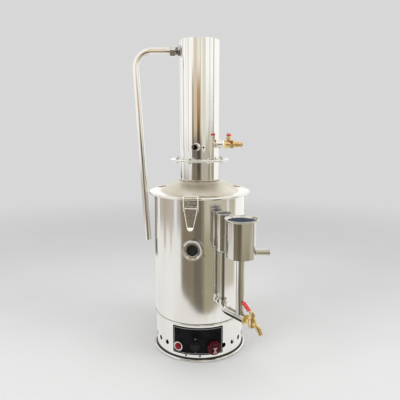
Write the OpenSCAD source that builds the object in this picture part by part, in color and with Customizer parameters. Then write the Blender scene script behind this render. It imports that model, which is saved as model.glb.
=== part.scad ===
// Stainless steel water distiller for the bench.
// Boiler pot on a skirted base, domed lid held by three toggle latches, and an upright
// condenser with its cooling coil. A filling cup, a vent cup and a drain tap stand on one
// feed pipe at the right. Origin: centre of the base's underside. +Z up, front towards -Y.
// Bearings are degrees from the front, positive towards +X.

/* [Base] */
// Radius of the boiler pot, outside
pot_r = 120; // [110:0.5:135]
// Thickness of the drawn sheet steel
wall_t = 1.2; // [0.8:0.1:1.6]
// How far the skirt stands inside the pot's wall
skirt_step = 1.5; // [1:0.1:3]
// Height of the skirt
skirt_h = 96.8; // [92:0.1:120]
// Thickness of the bottom plate
plate_t = 1.5; // [1:0.1:2.5]
// Thickness of the foot ring's flange
foot_flange_t = 1.5; // [1:0.1:2.5]
// Radius of the foot ring's rolled bead
foot_bead_r = 3; // [2.6:0.1:4]
// Gap between the skirt and the rolled bead
foot_gap = 1.5; // [1:0.1:3]
// Diameter of the skirt's vent holes
vent_d = 13; // [8:0.5:15]
// Number of vent holes
vent_count = 20; // [8:1:20]
// Height of the vent holes above the skirt's lower edge
vent_h = 32.3; // [26:0.1:38]
// Height of the rubber seal round the skirt's foot
foot_seal_h = 5.5; // [3:0.1:7.6]

/* [Boiler] */
// Height of the boiler pot with its flange
pot_h = 321.5; // [300:0.5:380]
// Width of the pot's top flange beyond the wall
pot_flange_w = 6.5; // [5:0.1:8]
// Radius of the pot's rounded bottom edge
pot_edge_r = 3; // [2:0.1:5]
// Thickness of the lid's gasket
lid_gasket_t = 5.5; // [4.5:0.1:7]

/* [Lid] */
// How far the lid's rim reaches past the pot's wall
lid_overhang = 14; // [13:0.1:18]
// Thickness of the lid
lid_t = 1.5; // [1:0.1:2]
// Radius of the lid's rolled edge
lid_bead_r = 3.25; // [2.6:0.05:3.4]
// How far the foot of the dome stands inside the pot's wall
dome_inset = 17; // [15:0.5:24]
// Rise of the dome from the rim to the neck
dome_rise = 29.5; // [22:0.5:40]

/* [Neck and flanges] */
// Radius of the neck and of the condenser shell
tube_r = 50.5; // [45:0.5:56]
// Height of the neck's flange above the lid's rim
neck_h = 78.7; // [60:0.1:110]
// Thickness of each flange
flange_t = 1.6; // [1.2:0.1:3]
// Width of the flanges beyond the tube
flange_w = 26.3; // [22:0.1:32]
// Thickness of the flange gasket
flange_gasket_t = 1.2; // [0.8:0.1:2]
// Diameter of the flange bolts
bolt_d = 5; // [4:0.5:6]
// Number of flange bolts
bolt_count = 8; // [4:1:8]

/* [Condenser] */
// Height of the condenser shell
shell_h = 298.5; // [280:0.5:340]
// Radius of the cooling coil at the middle of its tube
coil_r = 34; // [33:0.5:36]
// Diameter of the coil's tube
coil_d = 10; // [8:0.5:11]
// Whole turns of the coil
coil_turns = 11; // [8:1:12]
// Radius of the steam riser in the drip tray
riser_r = 17; // [12:0.5:18]
// Diameter of the distillate outlet
outlet_d = 17; // [14:0.1:18]
// Bore of the distillate outlet
outlet_bore_d = 12.5; // [8:0.1:13]
// Reach of the distillate outlet beyond the shell
outlet_reach = 25.5; // [18:0.5:40]

/* [Cooling water valve] */
// Bearing of the valve
inlet_az = 70; // [60:1:80]
// Diameter of the socket welded to the shell
socket_d = 22; // [21:0.1:24]
// Reach of the socket beyond the shell
socket_reach = 14.5; // [12:0.5:20]
// Diameter of the valve's barrel
barrel_d = 18.6; // [18:0.1:20]
// Length of the valve outside the socket
barrel_l = 29.6; // [28:0.1:36]
// Outer diameter of the hose tail
tail_d = 13.4; // [12:0.1:14]
// Length of the hose tail
tail_l = 20.4; // [14:0.1:40]
// Length of the valve's handle from the stem
handle_l = 30; // [20:0.5:45]

/* [Return pipe] */
// Outer diameter of the return pipe
pipe_d = 16; // [14:0.5:17]
// Wall of the return pipe
pipe_wall = 1; // [0.8:0.1:2]
// Reach of the return pipe from the condenser's axis, at the bend
pipe_reach = 164.4; // [162:0.1:200]
// Radius of the pipe's bend at its middle
pipe_bend_r = 40; // [30:1:50]
// Drop of the pipe below the union
pipe_drop = 491.4; // [200:0.1:520]
// How far the pipe leans in towards the pot at its lower end
pipe_lean = 24.7; // [10:0.1:26]

/* [Sight window] */
// Diameter of the sight window's bezel
bezel_d = 51.2; // [49:0.2:56]
// Diameter of the clear view through the window
view_d = 29.6; // [24:0.2:30]
// Thickness of the sight glass
glass_t = 4; // [3:0.1:5]

/* [Latches] */
// Diameter of the bail's wire
wire_d = 3; // [2.6:0.1:3.2]
// Width of the latch lever at its pivot
lever_w = 31; // [28:0.5:36]
// Length of the latch lever below its pivot
lever_l = 54; // [46:0.5:60]
// Distance from the lever's pivot to the bail's pivot
bail_throw = 8; // [7.5:0.1:9]

/* [Filling cup] */
// Bearing of the feed pipe's run
arm_az = 37; // [34:0.5:40]
// Outer diameter of the feed pipe
arm_d = 21.3; // [20.6:0.1:22]
// Height of the feed pipe above the pot's floor
arm_h = 50.5; // [44:0.5:60]
// Distance from the vent pipe to the filling cup
cup_reach = 63; // [62:0.5:66]
// Distance from the vent pipe to the end of the feed pipe
arm_l = 83; // [82:0.5:100]
// Outer radius of the filling cup
cup_r = 34; // [30:0.5:34.5]
// Height of the filling cup
cup_h = 91.5; // [80:0.5:130]
// Height of the cup's floor above the feed pipe
cup_lift = 147.5; // [120:0.5:170]
// Width of the cup's rolled lip
cup_lip = 6.5; // [4:0.1:6.6]
// Outer radius of the vent cup
vent_cup_r = 18; // [14:0.5:18]
// Height of the vent cup
vent_cup_h = 97; // [80:0.5:130]

/* [Drain tap] */
// Outer diameter of the tap's spout
spout_d = 11; // [9:0.1:13]
// Radius of the spout's bend
spout_bend_r = 25.5; // [22:0.5:32]
// Turn of the spout below the feed pipe's line, in degrees
spout_turn = 58; // [45:1:80]
// Length of the spout's straight end
spout_end_l = 8.5; // [6:0.5:14]
// Distance from the feed pipe's end to the tap's stem
tap_reach = 22; // [21:0.5:30]
// Length of the tap lever's raised part
tap_lever_l = 27; // [20:0.5:27]
// Rise of the tap's lever in degrees
tap_lever_rise = 35; // [20:1:50]

/* [Control panel] */
// Bearing of the panel's left edge
panel_az0 = -34.7; // [-36:0.1:-33]
// Bearing of the panel's right edge
panel_az1 = 30; // [29:0.1:36]
// Height of the panel
panel_h = 73; // [64:0.5:76]
// Thickness of the panel
panel_t = 1.5; // [1:0.1:2]
// Outer diameter of the lamp's bezel
lamp_d = 24; // [22:0.5:25]
// Outer diameter of the reset button's ring
button_ring_d = 26; // [24:0.5:28]
// Travel of the reset button
button_travel = 3; // [1:0.5:4]
// Diameter of the selector knob
knob_d = 38; // [32:0.5:38]

/* [Hidden] */
$fn = 72;

// Overrun of every cut
cut = 1;
// Gap between pieces that are pressed, screwed or welded together
fit = 0.05;
// Radial gap of a shaft that turns or slides in its hole
run = 0.08;
// Gap under a seated part that moves
seat_gap = 0.1;
// How far solids of one body run into each other, and how much thicker a bend is than its rod
lap = 0.3;
bend_proud = 0.03;

// Radii of the base
skirt_r = pot_r - skirt_step;
foot_r = skirt_r + foot_gap + 2 * foot_bead_r;
foot_bead_mid_r = foot_r - foot_bead_r;
foot_flange_in_r = skirt_r - 8 * foot_flange_t;
foot_seal_t = 0.8 * foot_gap;
pot_in_r = pot_r - wall_t;
// Heights, from the floor up
skirt_z = plate_t + foot_flange_t;
pot_z = skirt_z + skirt_h;
pot_top_z = pot_z + pot_h;
rim_z = pot_top_z + lid_gasket_t;
rim_top_z = rim_z + lid_t;
flange_z = rim_top_z + neck_h;
flange_gasket_z = flange_z + flange_t;
upper_flange_z = flange_gasket_z + flange_gasket_t;
flange_top_z = upper_flange_z + flange_t;
shell_top_z = upper_flange_z + shell_h;
// Bead at the top of the skirt
skirt_bead_r = 1.7 * wall_t;
skirt_bead_mid_r = skirt_r + skirt_bead_r / 5;
// Vents of the skirt
vent_az0 = 32;
vent_az1 = 314;
vent_z = skirt_z + vent_h;
// Two small drain holes under the panel
weep_r = foot_flange_t * 1.7;
weep_rise = 10.5;
weep_z = skirt_z + weep_rise;
weep_azs = [-17.2, 0.6];

// Lid
rim_r = pot_r + lid_overhang;
lid_bead_mid_r = rim_r - lid_bead_r;
pot_flange_r = pot_r + pot_flange_w;
dome_foot_r = pot_r - dome_inset;
// Sphere through the dome's foot and through the neck
dome_drop = (dome_foot_r * dome_foot_r - tube_r * tube_r - dome_rise * dome_rise) / (2 * dome_rise);
dome_r = sqrt(dome_foot_r * dome_foot_r + dome_drop * dome_drop);
dome_z = rim_top_z - dome_drop;
neck_foot_z = rim_top_z + dome_rise;
weld = 2 * wall_t;
tube_in_r = tube_r - wall_t;

// Flanges and their bolts
flange_r = tube_r + flange_w;
flange_gasket_r = flange_r - 2 * flange_gasket_t;
bolt_circle_r = tube_r + 0.44 * flange_w;
bolt_clear = bolt_d / 20;
bolt_head_af = 1.6 * bolt_d;
bolt_head_h = 0.7 * bolt_d;
bolt_nut_h = 0.8 * bolt_d;
bolt_end_l = 0.5 * bolt_d;

// Condenser
cap_t = 1.25 * wall_t;
cap_crown = 1.5 * wall_t;
// Outline of the cap's crown: shares of the shell's radius and of the crown's height
cap_shares = [[0.975, 0], [0.8, 0.36], [0.6, 0.64], [0.4, 0.84], [0.2, 0.96], [0, 1]];
tray_t = wall_t;
outlet_h = 35.5;
outlet_az = -8.8;
outlet_z = upper_flange_z + outlet_h;
tray_z = outlet_z - outlet_bore_d / 2 - 2 * tray_t - tray_t;
riser_top_z = tray_z + 2.2 * riser_r;
riser_hat_r = riser_r + 0.4 * riser_r;
riser_hat_z = riser_top_z + 0.8 * riser_r;
riser_hat_h = 0.5 * riser_r;
riser_leg_r = wall_t;
vent_nipple_az = 9.7;
vent_nipple_r = 4.3;
vent_nipple_bore_r = 2.5;
vent_nipple_reach = 9.5;
vent_nipple_z = outlet_z - vent_nipple_bore_r / 2;
inlet_h = 41;
inlet_z = upper_flange_z + inlet_h;
union_az = -90;
union_drop = 24;
union_z = shell_top_z - union_drop;
// Radius at which the coil's ends meet their fittings
fitting_in_r = tube_in_r - wall_t;
coil_reach_r = fitting_in_r - seat_gap;
coil_sweep = 360 * coil_turns + 360 + union_az - inlet_az;
coil_turn_rings = 16;
coil_rings = round(coil_turn_rings * coil_sweep / 360);
coil_sides = 6;
lead_turn = 18;
// Each row: share of the lead's way out from the coil, and degrees turned from its end
lead_shares = [[1, 0], [0.62, 0], [0.25, 3], [0.06, 9]];

// Cooling water valve
socket_end_r = tube_r + socket_reach;
tape_l = 0.24 * barrel_d;
valve_r0 = socket_end_r + tape_l;
valve_r1 = socket_end_r + barrel_l;
valve_mid_r = socket_end_r + barrel_l / 2;
thread_r = 0.45 * barrel_d;
tape_r = thread_r + 0.07 * barrel_d;
valve_bore_r = 0.26 * barrel_d;
ball_r = 0.37 * barrel_d;
stem_r = 0.14 * barrel_d;
turret_r = 0.3 * barrel_d;
turret_top_z = inlet_z + 0.78 * barrel_d;
gland_af = 0.64 * barrel_d;
gland_h = 0.2 * barrel_d;
stem_collar_r = 0.22 * barrel_d;
stem_collar_z = turret_top_z + gland_h + seat_gap;
handle_z = stem_collar_z + 0.16 * barrel_d;
handle_w = 0.65 * barrel_d;
handle_t = 0.26 * barrel_d;
tail_r = tail_d / 2;
tail_bore_r = 0.68 * tail_r;
tail_thread_r = 0.4 * barrel_d;
tail_end_r = valve_r1 + tail_l;
// The handle stands a little short of square to the pipe, where the valve is shut
handle_turn = 74;
handle_az = inlet_az - handle_turn;

// Return pipe and its union
pipe_r = pipe_d / 2;
spud_r = pipe_r + 1.1 * pipe_wall;
spud_bore_r = pipe_r - 2 * pipe_wall;
spud_hex_af = 1.6 * pipe_d;
spud_hex_l = 0.22 * pipe_d;
spud_end_r = tube_r + 0.72 * pipe_d;
union_nut_r0 = tube_r + 0.63 * pipe_d;
union_nut_l = 0.89 * pipe_d;
union_nut_af = 1.65 * pipe_d;
pipe_start_r = spud_end_r + seat_gap;
pipe_collar_l = 0.16 * pipe_d;
pipe_path = [[pipe_start_r, 0], [pipe_reach, 0], [pipe_reach - pipe_lean, -pipe_drop]];

// Sight window, measured out from the pot's wall
sight_az = -7.9;
sight_h = 198;
sight_z = pot_z + sight_h;
bezel_r = bezel_d / 2;
view_r = view_d / 2;
seat_r = 1.08 * bezel_r;
seat_t = 0.1 * bezel_r;
sight_gasket_t = 0.25 * glass_t;
glass_r = bezel_r - 5.2 * wall_t;
glass_out = seat_t + sight_gasket_t;
bezel_back = glass_out + glass_t + seat_gap;
bezel_l = bezel_back - seat_t + 0.16 * bezel_r;
// Low-water probe below the window
probe_side = 27.6;
probe_az = sight_az + asin(probe_side / pot_r);
probe_h = 182.5;
probe_z = pot_z + probe_h;
probe_r = 2;
probe_head_r = 1.8 * probe_r;
probe_head_l = 1.3 * probe_r;
probe_l = 12 * probe_r;

// Latches
latch_azs = [-9, 129, -127];
wire_r = wire_d / 2;
latch_drop = 26;
pivot_z = rim_top_z - latch_drop;
pivot_out = 11;
pivot_r = pot_r + pivot_out;
pivot_pin_r = 1.6;
bail_z = pivot_z - bail_throw;
ear_t = 1.4;
ear_r = 2 * pivot_pin_r;
lever_t = 1.2;
lever_ear_t = 1.5;
lever_face = ear_r + 0.2 * lever_t;
lever_ear_x = lever_w / 2 - lever_ear_t;
plate_ear_x = lever_ear_x - 0.6 * lever_ear_t - ear_t;
plate_w = 2 * (plate_ear_x + ear_t);
plate_clear = 0.8;
plate_top_z = pot_top_z - wall_t - plate_clear;
plate_drop = 12;
plate_low_z = pivot_z - plate_drop;
lever_tip_w = 0.56 * lever_w;
lever_lean = 7;
lip_r = 1.4 * lever_t;
bail_x = lever_w / 2 + wire_r + 0.3 * lever_t;
bail_bend = 1.35 * wire_r;
bail_corner = 2.6 * wire_r;
bar_z = rim_top_z + wire_r + seat_gap;
bar_out = 4;
bar_r = pot_r + bar_out;
bail_out_r = rim_r + wire_r + seat_gap;
knee_rise = 2;
bail_knee_z = pivot_z + knee_rise;
rivet_r = 1.6;
rivet_head_r = 1.9 * rivet_r;
rivet_head_h = 0.8 * rivet_r;
rivet_x = 0.2 * lever_w;
rivet_z = plate_top_z - 2 * rivet_head_r;

// Feed pipe, cups and vent
arm_z = pot_z + arm_h;
arm_r = arm_d / 2;
arm_wall = 1.65;
arm_bore_r = arm_r - arm_wall;
arm_bend_r = 22;
elbow_top_z = arm_z + arm_bend_r + 2 * arm_wall;
vent_lip = 2.8;
vent_lip_r = vent_lip / 2;
vent_az = 24.2;
vent_axis_r = pot_r + vent_cup_r + vent_lip + wall_t;
vent_x = vent_axis_r * sin(vent_az);
vent_y = -vent_axis_r * cos(vent_az);
vent_tube_r = 4;
vent_tube_bore_r = 3;
vent_cup_lift = 145;
vent_cup_z = arm_z + vent_cup_lift;
vent_cup_top_z = vent_cup_z + vent_cup_h;
vent_edge_r = 0.4 * vent_cup_r;
cup_wall = 1;
cup_z = arm_z + cup_lift;
cup_top_z = cup_z + cup_h;
cup_lip_r = 0.23 * cup_lip;
cup_flare = cup_lip - cup_lip_r;
riser_tube_r = arm_r - arm_wall / 4;
riser_bore_r = riser_tube_r - 0.9 * arm_wall;
cup_x = vent_x + cup_reach * sin(arm_az);
cup_y = vent_y - cup_reach * cos(arm_az);
overflow_r = 8;
overflow_bore_r = 6.5;
overflow_reach = 33;
overflow_rise = 11.5;
overflow_z = cup_z + overflow_rise;
// The stub ties the elbow to the pot
stub_r = 7;
stub_bore_r = 5.5;
stub_az = vent_az;
stub_z = arm_z + arm_bend_r / 2;
stub_end_r = vent_axis_r;

// Drain tap, along the feed pipe
tap_stem_x = arm_l + tap_reach;
tap_thread_r = arm_bore_r - 2 * fit;
tap_thread_l = 11;
collar_r = 1.13 * arm_r;
collar_l = 0.6 * arm_r;
tap_neck_r = 0.6 * arm_r;
tap_bore_r = 0.36 * arm_r;
tap_barrel_r = 0.8 * arm_r;
tap_barrel_edge_r = 0.2 * arm_r;
tap_barrel_low_z = arm_z - 1.05 * arm_r;
tap_barrel_top_z = arm_z + 0.9 * arm_r;
tap_ball_r = 0.62 * arm_r;
spout_r = spout_d / 2;
spout_bore_r = 0.74 * spout_r;
spout_trim = spout_bend_r * tan(spout_turn / 2);
spout_x0 = tap_stem_x + 0.3 * arm_r;
spout_corner = [spout_x0 + spout_trim, arm_z];
spout_tip = spout_corner + (spout_trim + spout_end_l) * [cos(spout_turn), -sin(spout_turn)];
tap_turret_r = 0.5 * arm_r;
tap_turret_z = arm_z + 1.5 * arm_r;
bonnet_af = 1.3 * arm_r;
bonnet_h = 0.56 * arm_r;
tap_stem_r = 0.29 * arm_r;
tap_lever_z = tap_turret_z + bonnet_h + seat_gap;
tap_lever_t = 2;
tap_lever_w = 8;
tap_hub_r = 6.5;
tap_bend_x = tap_hub_r + tap_lever_t / 2;
tap_nut_af = 4.3 * tap_lever_t;
tap_nut_h = 1.6 * tap_lever_t;
sleeve_wall = 1.2;
sleeve_w = tap_lever_w + 2 * sleeve_wall;
sleeve_t = tap_lever_t + 3.4 * sleeve_wall;
sleeve_l = 0.85 * tap_lever_l;

// Control panel
panel_rise = 14.3;
panel_z = skirt_z + panel_rise;
panel_r = skirt_r + fit;
panel_out_r = panel_r + panel_t;
lamp_az = -26.2;
lamp_rise = 35.3;
lamp_z = skirt_z + lamp_rise;
lamp_r = lamp_d / 2;
lamp_barrel_r = 0.66 * lamp_r;
lamp_bezel_l = 0.37 * lamp_r;
lens_r = 0.79 * lamp_r;
lens_floor = 0.12 * lamp_r;
lens_l = 0.3 * lamp_r;
lens_dome = 0.34 * lamp_r;
lamp_back_r = panel_out_r - 2 * lamp_r;
button_az = -5.4;
button_rise = 38;
button_z = skirt_z + button_rise;
button_ring_r = button_ring_d / 2;
button_r = 0.69 * button_ring_r;
button_barrel_r = 0.78 * button_ring_r;
button_ring_l = 0.2 * button_ring_r;
button_proud = button_travel + panel_t / 3;
button_back_r = panel_out_r - 1.7 * button_ring_r;
button_l = 0.9 * button_ring_r;
knob_az = 17.4;
knob_rise = 35.1;
knob_z = skirt_z + knob_rise;
knob_r = knob_d / 2;
switch_flange_r = 0.84 * knob_r;
switch_flange_l = 0.12 * knob_r;
switch_barrel_r = 0.55 * knob_r;
switch_back_r = panel_out_r - 1.5 * knob_r;
spindle_r = 0.16 * knob_r;
knob_l = 0.42 * knob_r;
grip_l = 0.2 * knob_r;
// Outline of the knob's grip, as shares of the knob's radius
grip_shares = [[-0.42, 0.82], [0.42, 0.82], [0.13, 0], [0.42, -0.82], [-0.42, -0.82], [-0.13, 0]];
panel_screw_az = -5;
panel_screw_rises = [20.4, 57.6];
panel_screw_zs = [for (rise = panel_screw_rises) skirt_z + rise];
panel_screw_r = 1.4;
panel_screw_head_r = 2.2;
panel_screw_head_l = 1;

// Heater, terminals and cable gland
heater_rod_r = 4;
heater_ring_rs = [pot_r / 2, 0.72 * pot_r];
heater_sweep = 310;
heater_bend_r = 12;
heater_rise = 24;
heater_z = pot_z + heater_rise;
heater_drop = 10;
heater_low_z = pot_z - heater_drop;
terminal_pin_r = 1.5;
terminal_pin_l = 6;
heater_nut_af = 17;
heater_nut_h = 5;
block_l = 60;
block_w = 22;
block_h = 25;
block_y = pot_r / 2;
block_holes = 4;
gland_az = 180;
gland_rise = 63.3;
gland_z = skirt_z + gland_rise;
gland_bore_r = 4.2;
gland_thread_r = 7.9;
gland_flange_r = 11;
gland_flange_l = 4;
gland_cap_l = 13;
gland_cap_r = 9.6;
gland_nut_l = 4.6;

// Place children on a wall of radius r: +Z out, +Y up, +X to the right
module on_wall(az, r, z) {
  rotate([0, 0, az]) translate([0, -r, z]) rotate([90, 0, 0]) children();
}

// Place children on the feed pipe's line: +X along the run away from the vent pipe
module on_arm() {
  translate([vent_x, vent_y, 0]) rotate([0, 0, arm_az - 90]) children();
}

// Upright cylinder between two heights
module post(r, z0, z1) {
  translate([0, 0, z0]) cylinder(r = r, h = z1 - z0);
}

// Upright tube between two heights
module ring(r, r_in, z0, z1) {
  difference() {
    post(r, z0, z1);
    post(r_in, z0 - cut, z1 + cut);
  }
}

// Round bead about the upright axis
module bead(mid_r, r, z) {
  translate([0, 0, z]) rotate_extrude() translate([mid_r, 0]) circle(r = r);
}

// Drum with a rounded lower edge
module drum(r, edge_r, z0, z1) {
  post(r, z0 + edge_r, z1);
  post(r - edge_r, z0, z1);
  bead(r - edge_r, edge_r, z0 + edge_r);
}

// Hexagon bar along +Z
module hex(af, h) {
  cylinder(r = af / 2 / cos(30), h = h, $fn = 6);
}

// Signed turn of a flat path at its point i
function turn(p, i) =
  let (a = p[i] - p[i - 1], b = p[i + 1] - p[i])
  atan2(a.x * b.y - a.y * b.x, a.x * b.x + a.y * b.y);
// Length that a bend takes from each side of a corner
function bend_trim(p, i, bend) =
  i == 0 || i == len(p) - 1 ? 0 : bend * tan(abs(turn(p, i)) / 2);
// The path with both ends drawn out by the cuts' overrun
function overrun(p) =
  let (n = len(p) - 1, a = p[0] - p[1], b = p[n] - p[n - 1])
  [for (i = [0 : n]) i == 0 ? p[0] + a * cut / norm(a) : i == n ? p[n] + b * cut / norm(b) : p[i]];

// Round rod along a flat path in the XY plane, with its corners bent
module bent_rod(path, bend, r) {
  last = len(path) - 1;
  lap_turn = atan(lap / bend);
  for (i = [0 : last - 1]) {
    step = path[i + 1] - path[i];
    length = norm(step);
    start = bend_trim(path, i, bend);
    end = bend_trim(path, i + 1, bend);
    translate([path[i].x, path[i].y, 0]) rotate([0, 0, atan2(step.y, step.x)])
      translate([start, 0, 0]) rotate([0, 90, 0]) cylinder(r = r, h = length - start - end);
  }
  for (i = [1 : last - 1]) {
    step = path[i] - path[i - 1];
    w = turn(path, i);
    side = w > 0 ? 1 : -1;
    heading = atan2(step.y, step.x);
    translate([path[i].x, path[i].y, 0]) rotate([0, 0, heading])
      translate([-bend_trim(path, i, bend), side * bend, 0])
        rotate([0, 0, (w > 0 ? -90 : 90 + w) - lap_turn]) rotate_extrude(angle = abs(w) + 2 * lap_turn)
          translate([bend, 0]) circle(r = r + bend_proud);
  }
}

// Bent tube with open ends
module bent_tube(path, bend, r, r_in) {
  difference() {
    bent_rod(path, bend, r);
    bent_rod(overrun(path), bend, r_in);
  }
}

// Weld fillet round a fitting of radius r on a round wall
module wall_weld(az, wall_r, z, r, size) {
  difference() {
    on_wall(az, wall_r - size, z) cylinder(r1 = r + 1.6 * size, r2 = r, h = 2.6 * size);
    post(wall_r + fit / 2, z - 2 * r - 4 * size, z + 2 * r + 4 * size);
  }
}

module base_ring() color("gainsboro") {
  bead(foot_bead_mid_r, foot_bead_r, foot_bead_r);
  ring(foot_bead_mid_r, foot_flange_in_r, plate_t, skirt_z);
}

module bottom_plate() color("silver") post(skirt_r, 0, plate_t);

// Rubber strip between the skirt and the foot ring's bead
module foot_seal() color("dimgray") ring(skirt_r + foot_seal_t, skirt_r + fit, skirt_z, skirt_z + foot_seal_h);

module base_skirt() color("gainsboro") {
  difference() {
    union() {
      post(skirt_r, skirt_z, pot_z);
      bead(skirt_bead_mid_r, skirt_bead_r, pot_z - skirt_bead_r);
    }
    post(skirt_r - wall_t, skirt_z - cut, pot_z + cut);
    for (i = [0 : vent_count - 1])
      on_wall(vent_az0 + (vent_az1 - vent_az0) * i / (vent_count - 1), skirt_r - 4 * wall_t, vent_z)
        cylinder(d = vent_d, h = 8 * wall_t);
    for (az = weep_azs) on_wall(az, skirt_r - 4 * wall_t, weep_z) cylinder(r = weep_r, h = 8 * wall_t);
    panel_holes(skirt_r - 4 * wall_t, 8 * wall_t);
    on_wall(gland_az, skirt_r - 4 * wall_t, gland_z) cylinder(r = gland_thread_r + fit, h = 8 * wall_t);
  }
}

// Holes that the lamp, the button, the switch and the screws pass through
module panel_holes(r, l) {
  on_wall(lamp_az, r, lamp_z) cylinder(r = lamp_barrel_r + fit, h = l);
  on_wall(button_az, r, button_z) cylinder(r = button_barrel_r + fit, h = l);
  on_wall(knob_az, r, knob_z) cylinder(r = switch_barrel_r + fit, h = l);
  for (z = panel_screw_zs) on_wall(panel_screw_az, r, z) cylinder(r = panel_screw_r + fit, h = l);
}

module boiler_pot() color("silver") {
  difference() {
    union() {
      drum(pot_r, pot_edge_r, pot_z, pot_top_z);
      post(pot_flange_r, pot_top_z - wall_t, pot_top_z);
      difference() {
        on_wall(sight_az, pot_r - seat_t, sight_z) cylinder(r = seat_r, h = 2 * seat_t);
        post(pot_in_r, sight_z - 2 * seat_r, sight_z + 2 * seat_r);
      }
    }
    post(pot_in_r, pot_z + wall_t, pot_top_z + cut);
    on_wall(sight_az, pot_r - 4 * seat_t, sight_z) cylinder(r = view_r, h = 8 * seat_t);
    on_wall(stub_az, pot_r - 8 * wall_t, stub_z) cylinder(r = stub_r + fit, h = 16 * wall_t);
    on_wall(probe_az, pot_r - 4 * wall_t, probe_z) cylinder(r = probe_r + fit, h = 8 * wall_t);
    for (az = latch_azs, side = [-1, 1]) rotate([0, 0, az]) translate([side * rivet_x, 0, 0])
      on_wall(0, pot_r - 4 * wall_t, rivet_z) cylinder(r = rivet_r + fit, h = 8 * wall_t);
    heater_legs(heater_rod_r + fit);
  }
}

module lid_gasket() color("ivory") ring(pot_flange_r, pot_in_r + fit, pot_top_z, rim_z);

module lid_dome() color("wheat") {
  difference() {
    union() {
      intersection() {
        translate([0, 0, dome_z]) sphere(r = dome_r, $fn = 144);
        post(pot_r, rim_z, flange_z);
      }
      post(lid_bead_mid_r, rim_z, rim_top_z);
      bead(lid_bead_mid_r, lid_bead_r, rim_top_z - lid_bead_r);
    }
    translate([0, 0, dome_z]) sphere(r = dome_r - wall_t, $fn = 144);
    post(tube_r + fit, rim_z, flange_z);
  }
}

module neck_tube() color("silver") {
  difference() {
    union() {
      post(tube_r, neck_foot_z - 2.5 * wall_t, flange_gasket_z);
      translate([0, 0, flange_z - weld]) cylinder(r1 = tube_r, r2 = tube_r + weld, h = weld);
      difference() {
        bead(tube_r, weld, neck_foot_z);
        translate([0, 0, dome_z]) sphere(r = dome_r + fit, $fn = 144);
      }
    }
    post(tube_in_r, rim_z, flange_top_z);
  }
}

// One flange plate with its bolt holes
module flange(z) {
  difference() {
    ring(flange_r, tube_r + fit, z, z + flange_t);
    bolt_holes(z, flange_t);
  }
}

module bolt_holes(z, t) {
  for (i = [0 : bolt_count - 1]) rotate([0, 0, 360 * (i + 0.5) / bolt_count])
    translate([0, -bolt_circle_r, z - cut]) cylinder(r = bolt_d / 2 + bolt_clear, h = t + 2 * cut);
}

module lower_flange() color("silver") flange(flange_z);

module upper_flange() color("silver") flange(upper_flange_z);

module flange_gasket() color("whitesmoke") {
  difference() {
    ring(flange_gasket_r, tube_in_r, flange_gasket_z, upper_flange_z);
    bolt_holes(flange_gasket_z, flange_gasket_t);
  }
}

module flange_bolts() color("lightgray") {
  for (i = [0 : bolt_count - 1]) rotate([0, 0, 360 * (i + 0.5) / bolt_count]) translate([0, -bolt_circle_r, 0]) {
    translate([0, 0, flange_z - bolt_head_h]) hex(bolt_head_af, bolt_head_h);
    post(bolt_d / 2, flange_z, flange_top_z + bolt_nut_h + bolt_end_l);
  }
}

module flange_nuts() color("lightgray") {
  for (i = [0 : bolt_count - 1]) rotate([0, 0, 360 * (i + 0.5) / bolt_count])
    translate([0, -bolt_circle_r, flange_top_z]) difference() {
      hex(bolt_head_af, bolt_nut_h);
      translate([0, 0, -cut]) cylinder(r = bolt_d / 2 + fit, h = bolt_nut_h + 2 * cut);
    }
}

module condenser_shell() color("silver") {
  difference() {
    union() {
      post(tube_r, upper_flange_z, shell_top_z);
      translate([0, 0, flange_top_z]) cylinder(r1 = tube_r + weld, r2 = tube_r, h = weld);
    }
    post(tube_in_r, upper_flange_z - cut, shell_top_z + cut);
    on_wall(outlet_az, tube_r - 4 * wall_t, outlet_z) cylinder(r = outlet_d / 2 + fit, h = 8 * wall_t);
    on_wall(vent_nipple_az, tube_r - 4 * wall_t, vent_nipple_z) cylinder(r = vent_nipple_r + fit, h = 8 * wall_t);
    on_wall(inlet_az, tube_r - 6 * wall_t, inlet_z) cylinder(r = socket_d / 2 + fit, h = 10 * wall_t);
    on_wall(union_az, tube_r - 6 * wall_t, union_z) cylinder(r = spud_r + fit, h = 10 * wall_t);
  }
}

module condenser_cap() color("silver") {
  rotate_extrude() polygon(concat(
    [[0, shell_top_z], [tube_r, shell_top_z], [tube_r, shell_top_z + cap_t / 2]],
    [for (p = cap_shares) [p[0] * tube_r, shell_top_z + cap_t + p[1] * cap_crown]]
  ));
}

module drip_tray() color("silver") {
  difference() {
    union() {
      post(tube_in_r - fit, tray_z, tray_z + tray_t);
      post(riser_r, tray_z, riser_top_z);
    }
    post(riser_r - wall_t, tray_z - cut, riser_top_z + cut);
  }
  for (az = [0, 120, 240]) rotate([0, 0, az]) translate([0, -riser_r + wall_t / 2, 0])
    post(riser_leg_r, riser_top_z - 2 * wall_t, riser_hat_z + wall_t);
  translate([0, 0, riser_hat_z]) cylinder(r1 = riser_hat_r, r2 = riser_r / 4, h = riser_hat_h);
}

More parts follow.
